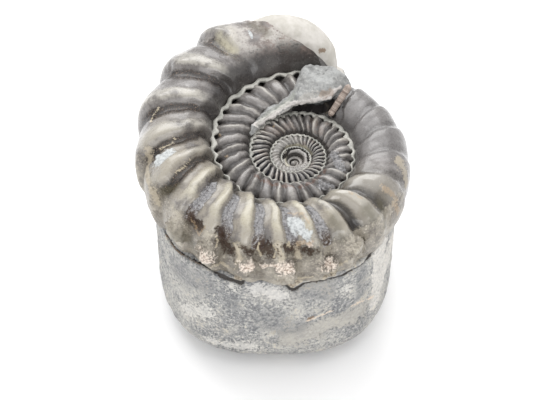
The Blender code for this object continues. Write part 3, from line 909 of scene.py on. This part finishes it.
def rock_finish(name):
    """Pale grey leftover rock, creamy along its edge."""
    material, tree, shader = new_material(name)
    cloud, speck, grain = grains(tree, 1.1)
    base = paint(tree, cloud.ramp(0.35, 0.65), colour(128, 128, 127), colour(156, 157, 156))
    base = paint(tree, speck.ramp(0.5, 0.68) * 0.5, base, colour(180, 180, 176))
    base = paint(tree, speck.ramp(0.46, 0.32) * 0.5, base, colour(98, 97, 96))
    base = paint(tree, grain.ramp(0.6, 0.72) * 0.5, base, colour(206, 202, 194))
    base, _ = painted_marks(tree, base, speck, grain, (
        ("edge", 1.0, 0.5, colour(190, 186, 180)),
        ("strip", 0.5, 0.85, colour(204, 199, 195)),
        ("green", 1.0, 0.4, colour(152, 155, 144)),
        ("brown", 1.4, 0.5, colour(128, 104, 82)),
        # Dark: painted shade on the ridge's underside and along its inner edge against the whorl.
        ("dark", 0.6, 0.9, colour(52, 53, 54)),
    ))
    height = speck * 0.7 + grain * 0.4
    finish_shader(tree, shader, base, grain.ramp(0.3, 0.7, 0.42, 0.7), bump(tree, height, 0.0001))
    return material


def splinter_finish(name):
    """Light brown shell with darker bands across it."""
    material, tree, shader = new_material(name)
    _, speck, grain = grains(tree, 1.3)
    bands = noise(tree, vector(tree, attribute(tree, "band") * 14.0, 0.0, 0.0), 1.0, 3.0, 0.6)
    base = paint(tree, bands.ramp(0.35, 0.65), colour(98, 84, 76), colour(172, 158, 148))
    base = paint(tree, grain.ramp(0.56, 0.7) * 0.5, base, colour(216, 204, 188))
    base = paint(tree, speck.ramp(0.45, 0.32) * 0.6, base, colour(84, 64, 54))
    finish_shader(tree, shader, base, grain.ramp(0.3, 0.7, 0.3, 0.5), bump(tree, grain, 0.00006))
    return material


def floor_finish(name):
    material, tree, shader = new_material(name)
    cloud = grains(tree, 0.05)[0]
    base = paint(tree, cloud.ramp(0.3, 0.7), (0.95, 0.95, 0.95, 1.0), (0.93, 0.93, 0.935, 1.0))
    tree.links.new(base.socket, shader.inputs["Base Color"])
    shader.inputs["Roughness"].default_value = 0.9
    return material


# Where rock fills the furrows and the crests are cream, as growth and section angles: from nothing at
# the first to full between the second and the third, and to nothing again at the fourth.
FILLED_GROWTHS = (16.85, 17.05, 18.1, 18.3)
FILLED_SECTIONS = (26, 42, 104, 124)
CREAM_GROWTHS = (16.8, 17.1, 18.2, 18.7)
PALE_GROWTHS = (18.3, 18.6, 19.9, 20.3)
CREAM_SECTIONS = (48, 78, 114, 130)
LEAST_CREAM_LEVEL = 0.14
PALE_SHARE = 0.5

# Marks of the last whorl: kind, radius in millimetres and the pixels that the mark runs through.
LAST_WHORL_MARKS = (
    ("cream", 1.6, (220, 36), (233, 50)), ("chalk", 0.4, (249, 31), (252, 38)),
    ("chalk", 0.3, (197, 42)), ("olive", 1.6, (253, 25), (266, 33)),
    ("crust", 0.24, (151, 122), (153, 116), (159, 108)),
    ("crust", 0.26, (160, 149), (171, 145), (175, 138)),
    ("chalk", 1.7, (158, 162), (168, 154)), ("fleck", 1.3, (149, 150), (147, 170), (152, 190), (158, 203)),
    ("crust", 0.26, (176, 173), (185, 166), (190, 159)), ("olive", 1.5, (163, 191), (176, 188)),
    ("chalk", 1.45, (294, 222), (299, 228), (305, 234)), ("pit", 1.7, (224, 243), (229, 249)),
    ("pit", 1.0, (219, 230), (224, 234)), ("pit", 1.8, (265, 248), (269, 252)),
    ("pit", 1.0, (286, 247), (291, 251)), ("gold", 0.7, (300, 243), (310, 241)),
    ("pit", 1.3, (193, 220), (199, 226)), ("olive", 2.2, (310, 255)), ("olive", 1.9, (178, 232), (192, 244)),
    ("olive", 1.6, (333, 218), (341, 238)), ("olive", 1.4, (366, 207), (374, 220)),
    ("olive", 1.1, (380, 203), (385, 226)), ("scuff", 1.9, (207, 253)), ("scuff", 1.7, (248, 263)),
    ("scuff", 2.0, (287, 268)), ("scuff", 1.9, (326, 262)), ("scuff", 0.6, (261, 265), (278, 265)),
    ("pit", 1.3, (305, 250), (311, 252)), ("pit", 1.0, (244, 249), (249, 252)),
    ("scuff", 0.9, (310, 244)),
    ("gold", 0.3, (192, 218), (195, 227), (199, 235), (205, 227)),
    ("crust", 0.2, (216, 234), (218, 241), (216, 247)), ("crust", 0.2, (260, 243), (258, 249), (261, 256)),
    ("crust", 0.2, (273, 244), (276, 250), (274, 257)), ("crust", 0.2, (287, 242), (290, 248)),
    ("fleck", 1.2, (236, 246), (240, 256)), ("fleck", 1.2, (278, 246), (282, 258)),
    ("fleck", 1.0, (296, 247), (299, 256)), ("gold", 0.3, (289, 214), (302, 213), (309, 223)),
    ("gold", 0.25, (349, 192), (361, 198), (376, 207)),
    ("gold", 0.8, (383, 188), (396, 199)), ("fleck", 1.4, (399, 160), (406, 185), (402, 214)),
    ("gold", 0.8, (393, 203), (398, 213)),
    ("fleck", 0.8, (215, 262), (300, 278), (345, 262)),
    ("knob", 2.4, (207, 255)), ("knob", 2.4, (247, 265)), ("knob", 2.6, (290, 272)), ("knob", 2.4, (328, 265)),
    # The dark mark on the next line is painted shade in the hollow beneath the rock ridge.
    ("knob", 2.2, (176, 232)), ("knob", 2.2, (357, 246)), ("dark", 2.4, (300, 106), (318, 105), (330, 106)),
    ("crust", 0.32, (301, 107), (309, 103), (318, 102), (325, 103), (329, 108), (326, 113)),
)
INNER_WHORL_MARKS = (
    ("rock", 1.3, (322, 184), (333, 190)), ("rock", 1.3, (334, 156), (341, 170)), ("dark", 0.5, (337, 190)),
    ("rust", 0.6, (256, 175), (268, 182), (284, 187), (300, 187), (314, 180), (325, 170)),
    ("gold", 0.3, (220, 135)), ("gold", 0.5, (227, 156)), ("gold", 0.5, (274, 126)),
    ("cream", 0.5, (282, 155), (288, 147), (297, 145), (306, 148), (311, 154)),
    # The dark marks on the next lines are painted shade in the groove round the core and in the hollow beneath
    # the rock ridge.
    ("dark", 0.5, (283, 158), (290, 149.4), (300, 148), (308, 154), (309, 161)),
    ("cream", 0.6, (286, 153), (285, 158), (288, 165)),
    ("dark", 2.0, (300, 108), (318, 107), (328, 110)),
    ("crust", 0.32, (301, 107), (309, 103), (318, 102), (325, 103), (329, 108), (326, 113)),
)
# How far each kind of mark lifts the surface, and how rough it makes it, in millimetres.
LIFTS = {"knob": 0.95, "rock": 0.04, "pit": -0.25, "scuff": 0.16, "crust": 0.12, "chalk": 0.04,
         "gold": 0.07, "dark": -0.04, "fleck": 0.05}
ROUGHNESS_LIFTS = {"rock": 0.16, "pit": 0.6, "scuff": 0.35, "chalk": 0.06, "gold": 0.2, "fleck": 0.2,
                   "dark": 0.12}
FURROW_FILL_LEVEL = -0.08
SHELL_MARK_KINDS = ("knob", "rock", "dark", "cream", "rust", "olive", "pit", "scuff", "crust", "chalk", "gold",
                    "fleck")


def blend_between(values, points):
    """Straight-line values between (x, y) points that are given in rising x."""
    return np.interp(values, [x for x, _ in points], [y for _, y in points])


def seam_radius(growth):
    return SEAM_RADIUS_AT_ZERO * np.exp(GROWTH_PER_RADIAN * np.asarray(growth, float))


def signed_power(values, power):
    """Sizes to a power, with their signs kept."""
    return np.sign(values) * np.abs(values) ** power


def whorl_places(growth, section, lift=0.0):
    """Places on the whorls in the coil's own frame, in millimetres, lifted off the surface."""
    growth, section = np.broadcast_arrays(np.asarray(growth, float), np.asarray(section, float))
    seam = seam_radius(growth)
    power = 2 / WHORL_SQUARENESS
    across = signed_power(np.cos(np.radians(section)), power)
    up = signed_power(np.sin(np.radians(section)), power)
    radius = WHORL_CENTRE * seam + (WHORL_HALF_WIDTH * seam + lift) * across
    height = (WHORL_HALF_HEIGHT * seam + lift) * up
    turn = np.pi - growth
    return np.stack([radius * np.cos(turn), radius * np.sin(turn), height], axis=-1)


def coil_to_world(places):
    """Carry places in millimetres from the coil's own frame into the object's, in metres."""
    lean = np.array(Matrix.Rotation(COIL_TILT, 3, "X"))
    return (places @ lean.T + np.array(COIL_CENTRE)) * MM


def new_piece(name, places, faces, material):
    mesh = bpy.data.meshes.new(name)
    mesh.from_pydata([tuple(place) for place in places], [], faces)
    mesh.materials.append(material)
    mesh.shade_smooth()
    piece = bpy.data.objects.new(name, mesh)
    bpy.context.scene.collection.objects.link(piece)
    return piece


def apply_modifiers(piece):
    """Turn a piece with modifiers into a plain mesh."""
    evaluated = piece.evaluated_get(bpy.context.evaluated_depsgraph_get())
    mesh = bpy.data.meshes.new_from_object(evaluated)
    piece.modifiers.clear()
    old = piece.data
    piece.data = mesh
    bpy.data.meshes.remove(old)


def declare(piece, slot, *nodes):
    """Attach a piece to the body it rides on and hide the CAD nodes it stands for. The slot is not used."""
    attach(piece, BODY)
    if nodes:
        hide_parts(*nodes)


def whorl_piece(tree, name, marks, settings, **values):
    """One stretch of the coil, sculpted and marked."""
    piece = grow(tree, name, {
        "Rib height": settings.rib_height, "Unevenness": 0.006, "Material": shell_finish(name + "_calcite"),
        **{label.replace("_", " ").capitalize(): value for label, value in values.items()}})
    give_grain(piece)
    sculpt_shell(piece, marks)
    declare(piece, "shell", "ammonite")


def make_shell(settings):
    """The coil in three stretches, the dome at its core and the edge along its seam."""
    tree = whorl_tree()
    whorl_piece(tree, "last_whorl", LAST_WHORL_MARKS, settings, start=LAST_WHORL_START, end=LAST_GROWTH,
                **OUTER_MESH)
    for name, start, end in (("middle_whorl", MIDDLE_WHORL_START, LAST_WHORL_START + WHORL_OVERLAPS[0]),
                             ("inner_whorls", CORE_GROWTH, MIDDLE_WHORL_START + WHORL_OVERLAPS[1])):
        whorl_piece(tree, name, INNER_WHORL_MARKS, settings, start=start, end=end,
                    unevenness=INNER_UNEVENNESS, **INNER_MESH)
    data = bmesh.new()
    bmesh.ops.create_icosphere(data, subdivisions=4, radius=CORE_DOME[0])
    core = new_piece("core_dome", [], [], shell_finish("core_calcite"))
    data.to_mesh(core.data)
    data.free()
    core.data.shade_smooth()
    squash = np.array([1.0, 1.0, CORE_DOME[1] / CORE_DOME[0]])
    rise = np.array([0.0, 0.0, CORE_SINK[2] + 0.05])
    put_points(core.data, coil_to_world(points_of(core.data) * squash + rise))
    for kind in ("section", "growth", "level"):
        keep_values(core.data, kind, np.zeros(len(core.data.vertices)))
    declare(core, "shell", "ammonite")
    lip = grow(lip_tree(), "seam_lip", {
        "Start": LIP_START, "End": LAST_GROWTH - LIP_SHORT_OF_END, "Columns": LIP_COLUMNS,
        "Rows": LIP_ROWS, "Thickness": 1.0, "Height": LIP_HEIGHT, "Waviness": LIP_WAVINESS,
        "Material": lip_finish("seam_edge"),
    })
    facing_out(lip.data)
    put_points(lip.data, points_of(lip.data))
    declare(lip, "shell", "ammonite")


def band(values, points):
    """Share that rises between the first two of four values and falls between the last two."""
    start, full, fading, end = points
    return soft_step(np.minimum((values - start) / (full - start), (end - values) / (end - fading)))


def soft_step(values):
    values = np.clip(values, 0, 1)
    return values * values * (3 - 2 * values)


def sculpt_shell(piece, marks):
    """Raise, fill and pit the shell where it is marked, and keep the masks of its finish."""
    mesh = piece.data
    facing_out(mesh)
    size = RIB_HEIGHT * seam_radius(values_of(mesh, "growth"))
    level = values_of(mesh, "relief") / size
    keep_values(mesh, "level", level)
    shares = mark_shares(mesh, marks)
    coarse, fine, growth, section = (
        values_of(mesh, name) for name in ("coarse", "fine", "growth", "section"))
    filled = band(growth, FILLED_GROWTHS) * band(section, FILLED_SECTIONS) * soft_step(-0.05 - level * 4)
    pale = np.maximum(band(growth, CREAM_GROWTHS), band(growth, PALE_GROWTHS) * PALE_SHARE)
    pale *= band(section, CREAM_SECTIONS) * soft_step((level - LEAST_CREAM_LEVEL) * 5)
    shares["rock"] = np.maximum(shares.get("rock", 0), filled * 0.8)
    shares["cream"] = np.maximum(shares.get("cream", 0), pale * 0.55)
    lift = np.zeros(len(mesh.vertices))
    for kind in SHELL_MARK_KINDS:
        share = shares.get(kind, np.zeros(len(lift)))
        keep_values(mesh, kind, share)
        amount = soft_step(share * 1.9 + (coarse - 0.5) * 0.7 * (share > 0) - 0.15)
        uneven = (coarse - 0.5) * 0.6 + (fine - 0.5)
        lift += amount * (LIFTS.get(kind, 0) + ROUGHNESS_LIFTS.get(kind, 0) * uneven)
        if kind in ("rock", "chalk"):
            lift += amount * np.maximum(FURROW_FILL_LEVEL - level, 0) * size
    worn = values_of(mesh, "worn")
    lift += worn * ((coarse - 0.5) * 0.22 + (fine - 0.5) * 0.12)
    put_points(mesh, points_of(mesh) + normals_of(mesh) * lift[:, None] * MM)
    mesh.set_sharp_from_angle(angle=math.radians(60))


def stone_outline(turn):
    across = np.abs(np.cos(turn) / STONE_HALF_SIZE[0]) ** STONE_SQUARENESS
    along = np.abs(np.sin(turn) / STONE_HALF_SIZE[1]) ** STONE_SQUARENESS
    return (across + along) ** (-1 / STONE_SQUARENESS)


def shell_reach(turn):
    """Distance from the coil's axis to the shell's rim, where the stone meets it."""
    def rim(at):
        seam = seam_radius(at)
        up = abs(STONE_TOP_LEVEL) / (WHORL_HALF_HEIGHT * seam)
        across = (1 - up ** WHORL_SQUARENESS) ** (1 / WHORL_SQUARENESS)
        return seam * (WHORL_CENTRE + WHORL_HALF_WIDTH * across)

    turn = np.asarray(turn, float)
    growth = LAST_WHORL_START + (np.pi - turn - LAST_WHORL_START) % (2 * np.pi)
    start, end = STONE_HUMP_TURNS
    share = np.clip((turn % (2 * np.pi) - start) / (end - start), 0, 1)
    inside = (share > 0) & (share < 1)
    share = soft_step(share)
    bridged = rim(math.pi - start + 4 * math.pi) * (1 - share) + rim(LAST_GROWTH) * share
    return np.where(inside, bridged, rim(growth))


def stone_top(y):
    lean = (y - COIL_CENTRE[1]) * math.tan(COIL_TILT)
    return COIL_CENTRE[2] + lean + STONE_TOP_LEVEL / math.cos(COIL_TILT)


def pebble(material):
    """Tall pebble with a small flat base and nearly upright sides."""
    columns = 192
    turn = 2 * np.pi * np.arange(columns) / columns
    centre = np.array([COIL_CENTRE[0] + STONE_OFFSET[0], COIL_CENTRE[1] + STONE_OFFSET[1]])
    bends = np.radians(np.linspace(0, 90, 13))
    rings = [(-STONE_EDGE_RADIUS * (1 - math.sin(bend)), STONE_EDGE_RADIUS * (1 - math.cos(bend)), 0.0)
             for bend in bends]
    rings += [(0.0, STONE_EDGE_RADIUS, share) for share in np.linspace(0, 1, 19)[1:]]
    places = []
    for inset, height, share in rings:
        radius = stone_outline(turn) + inset
        x = centre[0] + radius * np.cos(turn)
        y = centre[1] + radius * np.sin(turn)
        from_axis = np.stack([x - COIL_CENTRE[0], y - COIL_CENTRE[1]], axis=1)
        length = np.hypot(*from_axis.T)
        limit = shell_reach(np.arctan2(from_axis[:, 1], from_axis[:, 0])) + STONE_LEDGE
        pull = 1 + share ** 1.5 * (np.minimum(limit / length, 1) - 1)
        x, y = COIL_CENTRE[0] + from_axis[:, 0] * pull, COIL_CENTRE[1] + from_axis[:, 1] * pull
        places += list(np.stack([x, y, height * (1 - share) + share * stone_top(y)], axis=1))
    faces = []
    for ring in range(len(rings) - 1):
        for column in range(columns):
            after = (column + 1) % columns
            low, high = ring * columns, (ring + 1) * columns
            faces.append((low + column, low + after, high + after, high + column))
    faces.append(tuple(range(columns))[::-1])
    faces.append(tuple(range((len(rings) - 1) * columns, len(rings) * columns)))
    return new_piece("pebble", np.array(places) * MM, faces, material)


# Marks of the stone: kind, radius in millimetres and the pixels that the mark runs through.
STONE_MARKS = (
    # The dark marks run along the gap where the shell rests on the stone and are painted shadow there.
    ("dark", 0.75, (219, 276), (228, 280), (238, 283)), ("dark", 0.4, (214, 272), (243, 283)),
    ("dark", 0.2, (157, 219), (165, 232), (172, 245), (180, 252), (200, 262), (214, 271)),
    ("brown", 0.24, (158, 223), (166, 235), (173, 247), (181, 254), (200, 264)),
    ("dark", 0.2, (243, 281), (258, 279), (274, 279), (284, 285)),
    ("dark", 0.55, (285, 285), (293, 291), (303, 286)),
    ("dark", 0.34, (303, 284), (322, 281), (340, 277), (352, 271), (363, 265), (370, 256)),
    ("dark", 0.26, (370, 256), (374, 247), (388, 242), (391, 224)),
    ("chalk", 2.3, (258, 290), (280, 296)), ("line", 0.32, (307, 321), (330, 311), (359, 302), (373, 296)),
    ("brown", 0.5, (308, 320), (313, 317)), ("warm", 3.2, (292, 338), (330, 324), (362, 310)),
    ("facet", 3.6, (381, 250), (379, 270), (380, 285), (375, 299)), ("facet", 6.0, (388, 256), (388, 290)),
    ("shade", 1.6, (364, 270), (360, 284), (362, 294)),
    ("dark", 0.18, (388, 236), (389, 250), (386, 262)), ("pale", 0.9, (159, 226), (163, 244)),
    ("shade", 3.2, (180, 272), (205, 284)), ("shade", 1.9, (232, 303)), ("shade", 3.0, (268, 322), (294, 328)),
    ("shade", 2.6, (306, 291), (328, 290)), ("shade", 2.0, (176, 322), (184, 330)),
    ("pale", 2.6, (184, 308), (206, 312)),
    ("pale", 2.2, (212, 342), (252, 346)), ("pale", 1.8, (346, 288)), ("pale", 1.6, (232, 286)),
    ("brown", 0.45, (320, 51), (325, 50)), ("warm", 1.2, (316, 56), (330, 61)),
    ("tooth", 1.1, (286, 280), (292, 284), (299, 280)), ("tooth", 0.7, (237, 277), (250, 276)),
    ("tooth", 0.7, (322, 276), (333, 273)),
)
STONE_LIFTS = {"dark": -0.4, "tooth": 0.35, "line": 0.08, "brown": -0.05}
STONE_MARK_KINDS = ("facet", "tooth", "shade", "pale", "chalk", "brown", "dark", "warm", "line", "hump")


def make_stone(settings):
    """Pebble and hump made one body, then worn and marked."""
    material = stone_finish("stone_blue_grey", tuple(settings.grey) + (1.0,))
    stone = pebble(material)
    data = bmesh.new()
    data.from_mesh(stone.data)
    hump = bmesh.ops.create_icosphere(data, subdivisions=5, radius=1.0)["verts"]
    centre = [COIL_CENTRE[axis] + HUMP_CENTRE[axis] for axis in range(3)]
    bmesh.ops.transform(data, verts=hump, matrix=Matrix.Scale(MM, 4) @ Matrix.Translation(centre)
                        @ Matrix.Diagonal((*HUMP_HALF_SIZE, 1.0)))
    data.to_mesh(stone.data)
    data.free()
    stone.name = "stone_body"
    remesh = stone.modifiers.new("One body", "REMESH")
    remesh.mode = "VOXEL"
    remesh.voxel_size = STONE_VOXEL * MM
    remesh.use_smooth_shade = True
    soft = stone.modifiers.new("Soft", "CORRECTIVE_SMOOTH")
    soft.iterations = 10
    soft.use_only_smooth = True
    apply_modifiers(stone)
    if not stone.data.materials:
        stone.data.materials.append(material)
    give_grain(stone, 0.5, 1.8)
    mesh = stone.data
    shares = mark_shares(mesh, STONE_MARKS)
    from_hump = (points_of(mesh) / MM - centre) / HUMP_HALF_SIZE
    near_hump = soft_step((1.3 - np.sqrt((from_hump ** 2).sum(1))) * 4)
    shares["hump"] = near_hump * soft_step(from_hump[:, 2] * 1.5 + 1)
    coarse, fine = (values_of(mesh, name) for name in ("coarse", "fine"))
    lift = ((coarse - 0.5) + (fine - 0.5) * 0.3) * settings.roughness / MM
    for kind in STONE_MARK_KINDS:
        share = shares.get(kind, np.zeros(len(lift)))
        keep_values(mesh, kind, share)
        lift += soft_step(share * 1.5) * STONE_LIFTS.get(kind, 0)
    put_points(mesh, points_of(mesh) + normals_of(mesh) * lift[:, None] * MM)
    declare(stone, "stone", "stone")


# Marks of the ridge, as for the shell: the pale strip along its front edge, a dent and a swelling.
RIDGE_MARKS = (
    ("strip", 0.6, (256, 124.6), (270, 116), (282, 107), (294, 103), (306.5, 101), (318.6, 98), (329, 96),
     (333, 91.7), (340, 87)),
    ("dent", 2.2, (317, 63), (320, 66)), ("swell", 1.3, (301, 70)), ("brown", 0.8, (322, 94), (330, 92)),
)
RIDGE_LIFTS = {"strip": 0.25, "dent": -1.1, "swell": 0.5, "brown": 0.0}


def ridge_values(growth):
    return [blend_between(growth, [(station[0], station[value]) for station in RIDGE_STATIONS])
            for value in range(1, 5)]


def make_remnant(settings):
    """Ridge of rock that lies on the whorls and swells into a lump."""
    columns, rows = 150, 110
    growth = np.linspace(RIDGE_STATIONS[0][0], RIDGE_STATIONS[-1][0], columns)[:, None]
    share = np.linspace(0, 1, rows)[None, :]
    low, high, rim, inner = (np.broadcast_to(value, (columns, 1)) for value in ridge_values(growth))
    section = low + (high - low) * share
    dome = np.clip(np.minimum(share * 6, (1 - share) * 6), 0, 1) ** 0.5
    steps = np.arange(columns)
    ends = np.clip(np.minimum(steps / 5, (columns - 1 - steps) / 5), 0, 1)[:, None] ** 0.5
    thickness = (rim + (inner - rim) * share) * dome * ends * settings.thickness
    growths = np.broadcast_to(growth, section.shape)
    under = whorl_places(growths, section, -0.2)
    raised = np.clip((105 - section) / 30, 0, 1)
    over = whorl_places(growths, section, 0.1 + thickness * (1 - raised))
    over[..., 2] += thickness * raised
    places = coil_to_world(np.concatenate([over.reshape(-1, 3), under.reshape(-1, 3)]))
    faces = []
    count = columns * rows
    for column in range(columns - 1):
        for row in range(rows - 1):
            a = column * rows + row
            faces.append((a, a + 1, a + rows + 1, a + rows))
            faces.append((a + count, a + rows + count, a + rows + 1 + count, a + 1 + count))
    for column in range(columns - 1):
        for row in (0, rows - 1):
            a = column * rows + row
            faces.append((a, a + rows, a + rows + count, a + count) if row == 0
                         else (a, a + count, a + rows + count, a + rows))
    for row in range(rows - 1):
        for column in (0, columns - 1):
            a = column * rows + row
            faces.append((a, a + count, a + 1 + count, a + 1) if column == 0
                         else (a, a + 1, a + 1 + count, a + count))
    piece = new_piece("rock_ridge", places, faces, rock_finish("leftover_rock"))
    facing_out(piece.data)
    give_grain(piece, 0.8, 2.6)
    mesh = piece.data
    shares = np.concatenate([np.broadcast_to(share, section.shape).ravel()] * 2)
    growths = np.concatenate([growths.ravel()] * 2)
    top = np.arange(2 * count) < count
    rim_share = band(shares, (0.74, 0.88, 0.95, 1.0)) * band(growths, (12.9, 13.1, 14.4, 14.8))
    keep_values(mesh, "edge", 0.75 * top * rim_share)
    # Painted shade: the whole underside and the inner edge of the ridge are marked dark.
    keep_values(mesh, "dark", np.where(top, soft_step((shares - 0.95) * 20), 1.0))
    green = band(shares, (0.1, 0.3, 0.5, 0.7)) * band(growths, (13.0, 13.4, 14.0, 14.3))
    keep_values(mesh, "green", top * green)
    lift = (values_of(mesh, "coarse") - 0.5) * 0.9 + (values_of(mesh, "fine") - 0.5) * 0.25
    marked = mark_shares(mesh, RIDGE_MARKS)
    for kind, height in RIDGE_LIFTS.items():
        mark = marked.get(kind, np.zeros(2 * count))
        keep_values(mesh, kind, mark * top)
        lift += soft_step(mark * 1.4) * height
    put_points(mesh, points_of(mesh) + normals_of(mesh) * (lift * top)[:, None] * MM)
    declare(piece, "rock", "matrix_remnant")


def make_splinter(settings):
    """Small straight rod of shell, banded."""
    rings, sides = 60, 20
    turn = math.pi - ROD_GROWTH
    outwards = np.array([math.cos(turn), math.sin(turn), 0.0])
    foot = outwards * ROD_FOOT[0] + np.array([0.0, 0.0, ROD_FOOT[1]])
    head = outwards * ROD_HEAD[0] + np.array([0.0, 0.0, ROD_HEAD[1]])
    axis = (head - foot) / np.linalg.norm(head - foot)
    side = np.cross(axis, [0.0, 0.0, 1.0])
    side /= np.linalg.norm(side)
    other = np.cross(side, axis)
    places, bands = [], []
    for ring in range(rings):
        share = ring / (rings - 1)
        middle = foot + (head - foot) * share
        rounded = min(1.0, 0.5 + 8 * share, 0.5 + 8 * (1 - share))
        radius = settings.rod_thickness / MM * (0.5 + 0.08 * share) * rounded
        for corner in range(sides):
            angle = 2 * math.pi * corner / sides
            places.append(middle + radius * (math.cos(angle) * side + math.sin(angle) * other))
            bands.append(share)
    faces = [(ring * sides + corner, ring * sides + (corner + 1) % sides,
              (ring + 1) * sides + (corner + 1) % sides, (ring + 1) * sides + corner)
             for ring in range(rings - 1) for corner in range(sides)]
    faces += [tuple(range(sides))[::-1], tuple(range((rings - 1) * sides, rings * sides))]
    material = splinter_finish("shell_splinter_brown")
    piece = new_piece("splinter_rod", coil_to_world(np.array(places)), faces, material)
    facing_out(piece.data)
    keep_values(piece.data, "band", bands)
    put_points(piece.data, points_of(piece.data))
    declare(piece, "splinter", "shell_splinter")


def add_lamp(name, place, target, size, power, tint=(1.0, 1.0, 1.0)):
    lamp = bpy.data.lights.new(name, "AREA")
    lamp.shape = "RECTANGLE"
    lamp.size, lamp.size_y = size
    lamp.energy = power
    lamp.color = tint
    holder = bpy.data.objects.new(name, lamp)
    holder.location = place
    holder.rotation_euler = (Vector(target) - Vector(place)).to_track_quat("-Z", "Y").to_euler()
    bpy.context.scene.collection.objects.link(holder)


def make_stage(settings):
    """Pale floor, soft studio light and the camera."""
    scene = bpy.context.scene
    scene.view_settings.view_transform = "Standard"
    half = settings.floor_size / 2
    floor = new_piece("floor", [(-half, -half, 0), (half, -half, 0), (half, half, 0), (-half, half, 0)],
                      [(0, 1, 2, 3)], floor_finish("pale_floor"))
    world = bpy.data.worlds.new("studio")
    world.use_nodes = True
    world.node_tree.nodes["Background"].inputs["Color"].default_value = (1.0, 1.0, 1.0, 1.0)
    world.node_tree.nodes["Background"].inputs["Strength"].default_value = settings.room_light
    scene.world = world
    middle = (0.0, 0.0, 0.025)
    add_lamp("window", (-0.10, 0.34, 0.42), middle, (0.5, 0.35), settings.window_power)
    add_lamp("overhead", (0.05, 0.05, 0.6), middle, (0.5, 0.5), settings.window_power * 0.5)
    add_lamp("fill", (0.0, -0.55, 0.1), middle, (0.7, 0.25), settings.window_power * 0.76)

    place, right, up, forward = camera_axes()
    lens = bpy.data.cameras.new("camera")
    lens.lens = CAMERA_LENS
    lens.sensor_width = CAMERA_SENSOR
    lens.sensor_fit = "HORIZONTAL"
    lens.clip_start = 0.01
    camera = bpy.data.objects.new("camera", lens)
    turned = Matrix((right, up, -forward)).transposed().to_4x4()
    camera.matrix_world = Matrix.Translation(place * MM) @ turned
    scene.collection.objects.link(camera)
    scene.camera = camera


class ShellSettings(bpy.types.PropertyGroup):
    rib_height: bpy.props.FloatProperty(
        name="Rib height", description="Height of the ribs as a share of the seam's radius",
        default=RIB_HEIGHT, min=0.0, max=0.3)


class StoneSettings(bpy.types.PropertyGroup):
    roughness: bpy.props.FloatProperty(
        name="Stone unevenness", description="Height of the stone's bumps in metres", default=0.0005,
        min=0.0, unit="LENGTH")
    grey: bpy.props.FloatVectorProperty(
        name="Stone grey", description="Main colour of the stone", default=(0.23, 0.235, 0.24),
        min=0.0, max=1.0, subtype="COLOR")


class RidgeSettings(bpy.types.PropertyGroup):
    thickness: bpy.props.FloatProperty(
        name="Ridge thickness", description="Thickness of the rock ridge as a share of the fossil's own",
        default=1.0, min=0.1, max=1.5)
    rod_thickness: bpy.props.FloatProperty(
        name="Splinter thickness", description="Width of the small splinter", default=0.00098, min=0.0001,
        unit="LENGTH")


class StageSettings(bpy.types.PropertyGroup):
    floor_size: bpy.props.FloatProperty(
        name="Floor size", description="Width of the square floor", default=4.0, unit="LENGTH")
    room_light: bpy.props.FloatProperty(
        name="Room light", description="Strength of the even light from all round", default=0.96, min=0.0)
    window_power: bpy.props.FloatProperty(
        name="Window power", description="Power of the large soft light behind the object", default=2.0,
        min=0.0, unit="POWER")


class AMMONITE_OT_shell(bpy.types.Operator):
    """Make the coiled, ribbed shell"""
    bl_idname = "ammonite.shell"
    bl_label = "Shell"

    def execute(self, context):
        make_shell(context.scene.ammonite_shell)
        return {"FINISHED"}


class AMMONITE_OT_stone(bpy.types.Operator):
    """Make the pebble that the shell sits on"""
    bl_idname = "ammonite.stone"
    bl_label = "Stone"

    def execute(self, context):
        make_stone(context.scene.ammonite_stone)
        return {"FINISHED"}


class AMMONITE_OT_remnant(bpy.types.Operator):
    """Make the ridge of leftover rock"""
    bl_idname = "ammonite.remnant"
    bl_label = "Rock ridge"

    def execute(self, context):
        make_remnant(context.scene.ammonite_ridge)
        return {"FINISHED"}


class AMMONITE_OT_splinter(bpy.types.Operator):
    """Make the small splinter of shell"""
    bl_idname = "ammonite.splinter"
    bl_label = "Splinter"

    def execute(self, context):
        make_splinter(context.scene.ammonite_ridge)
        return {"FINISHED"}


class AMMONITE_OT_stage(bpy.types.Operator):
    """Make the floor, the lights and the camera"""
    bl_idname = "ammonite.stage"
    bl_label = "Stage"

    def execute(self, context):
        make_stage(context.scene.ammonite_stage)
        return {"FINISHED"}


class AMMONITE_PT_panel(bpy.types.Panel):
    """Buttons and settings of the ammonite"""
    bl_label = "Ammonite fossil"
    bl_idname = "AMMONITE_PT_panel"
    bl_space_type = "VIEW_3D"
    bl_region_type = "UI"
    bl_category = "Ammonite"

    def draw(self, context):
        layout = self.layout
        for label in GROUPS:
            settings = getattr(context.scene, label)
            for name in settings.__annotations__:
                layout.prop(settings, name)
        for operator in OPERATORS:
            layout.operator(operator.bl_idname)


GROUPS = {"ammonite_shell": ShellSettings, "ammonite_stone": StoneSettings, "ammonite_ridge": RidgeSettings,
          "ammonite_stage": StageSettings}
OPERATORS = (AMMONITE_OT_stage, AMMONITE_OT_shell, AMMONITE_OT_stone, AMMONITE_OT_remnant,
             AMMONITE_OT_splinter)


def register():
    for item in (*GROUPS.values(), *OPERATORS, AMMONITE_PT_panel):
        bpy.utils.register_class(item)
    for label, kind in GROUPS.items():
        setattr(bpy.types.Scene, label, bpy.props.PointerProperty(type=kind))


def unregister():
    for label in GROUPS:
        delattr(bpy.types.Scene, label)
    for item in reversed((*GROUPS.values(), *OPERATORS, AMMONITE_PT_panel)):
        bpy.utils.unregister_class(item)


def main():
    register()
    for operator in OPERATORS:
        group, name = operator.bl_idname.split(".")
        getattr(getattr(bpy.ops, group), name)()


if __name__ == "__main__":
    main()
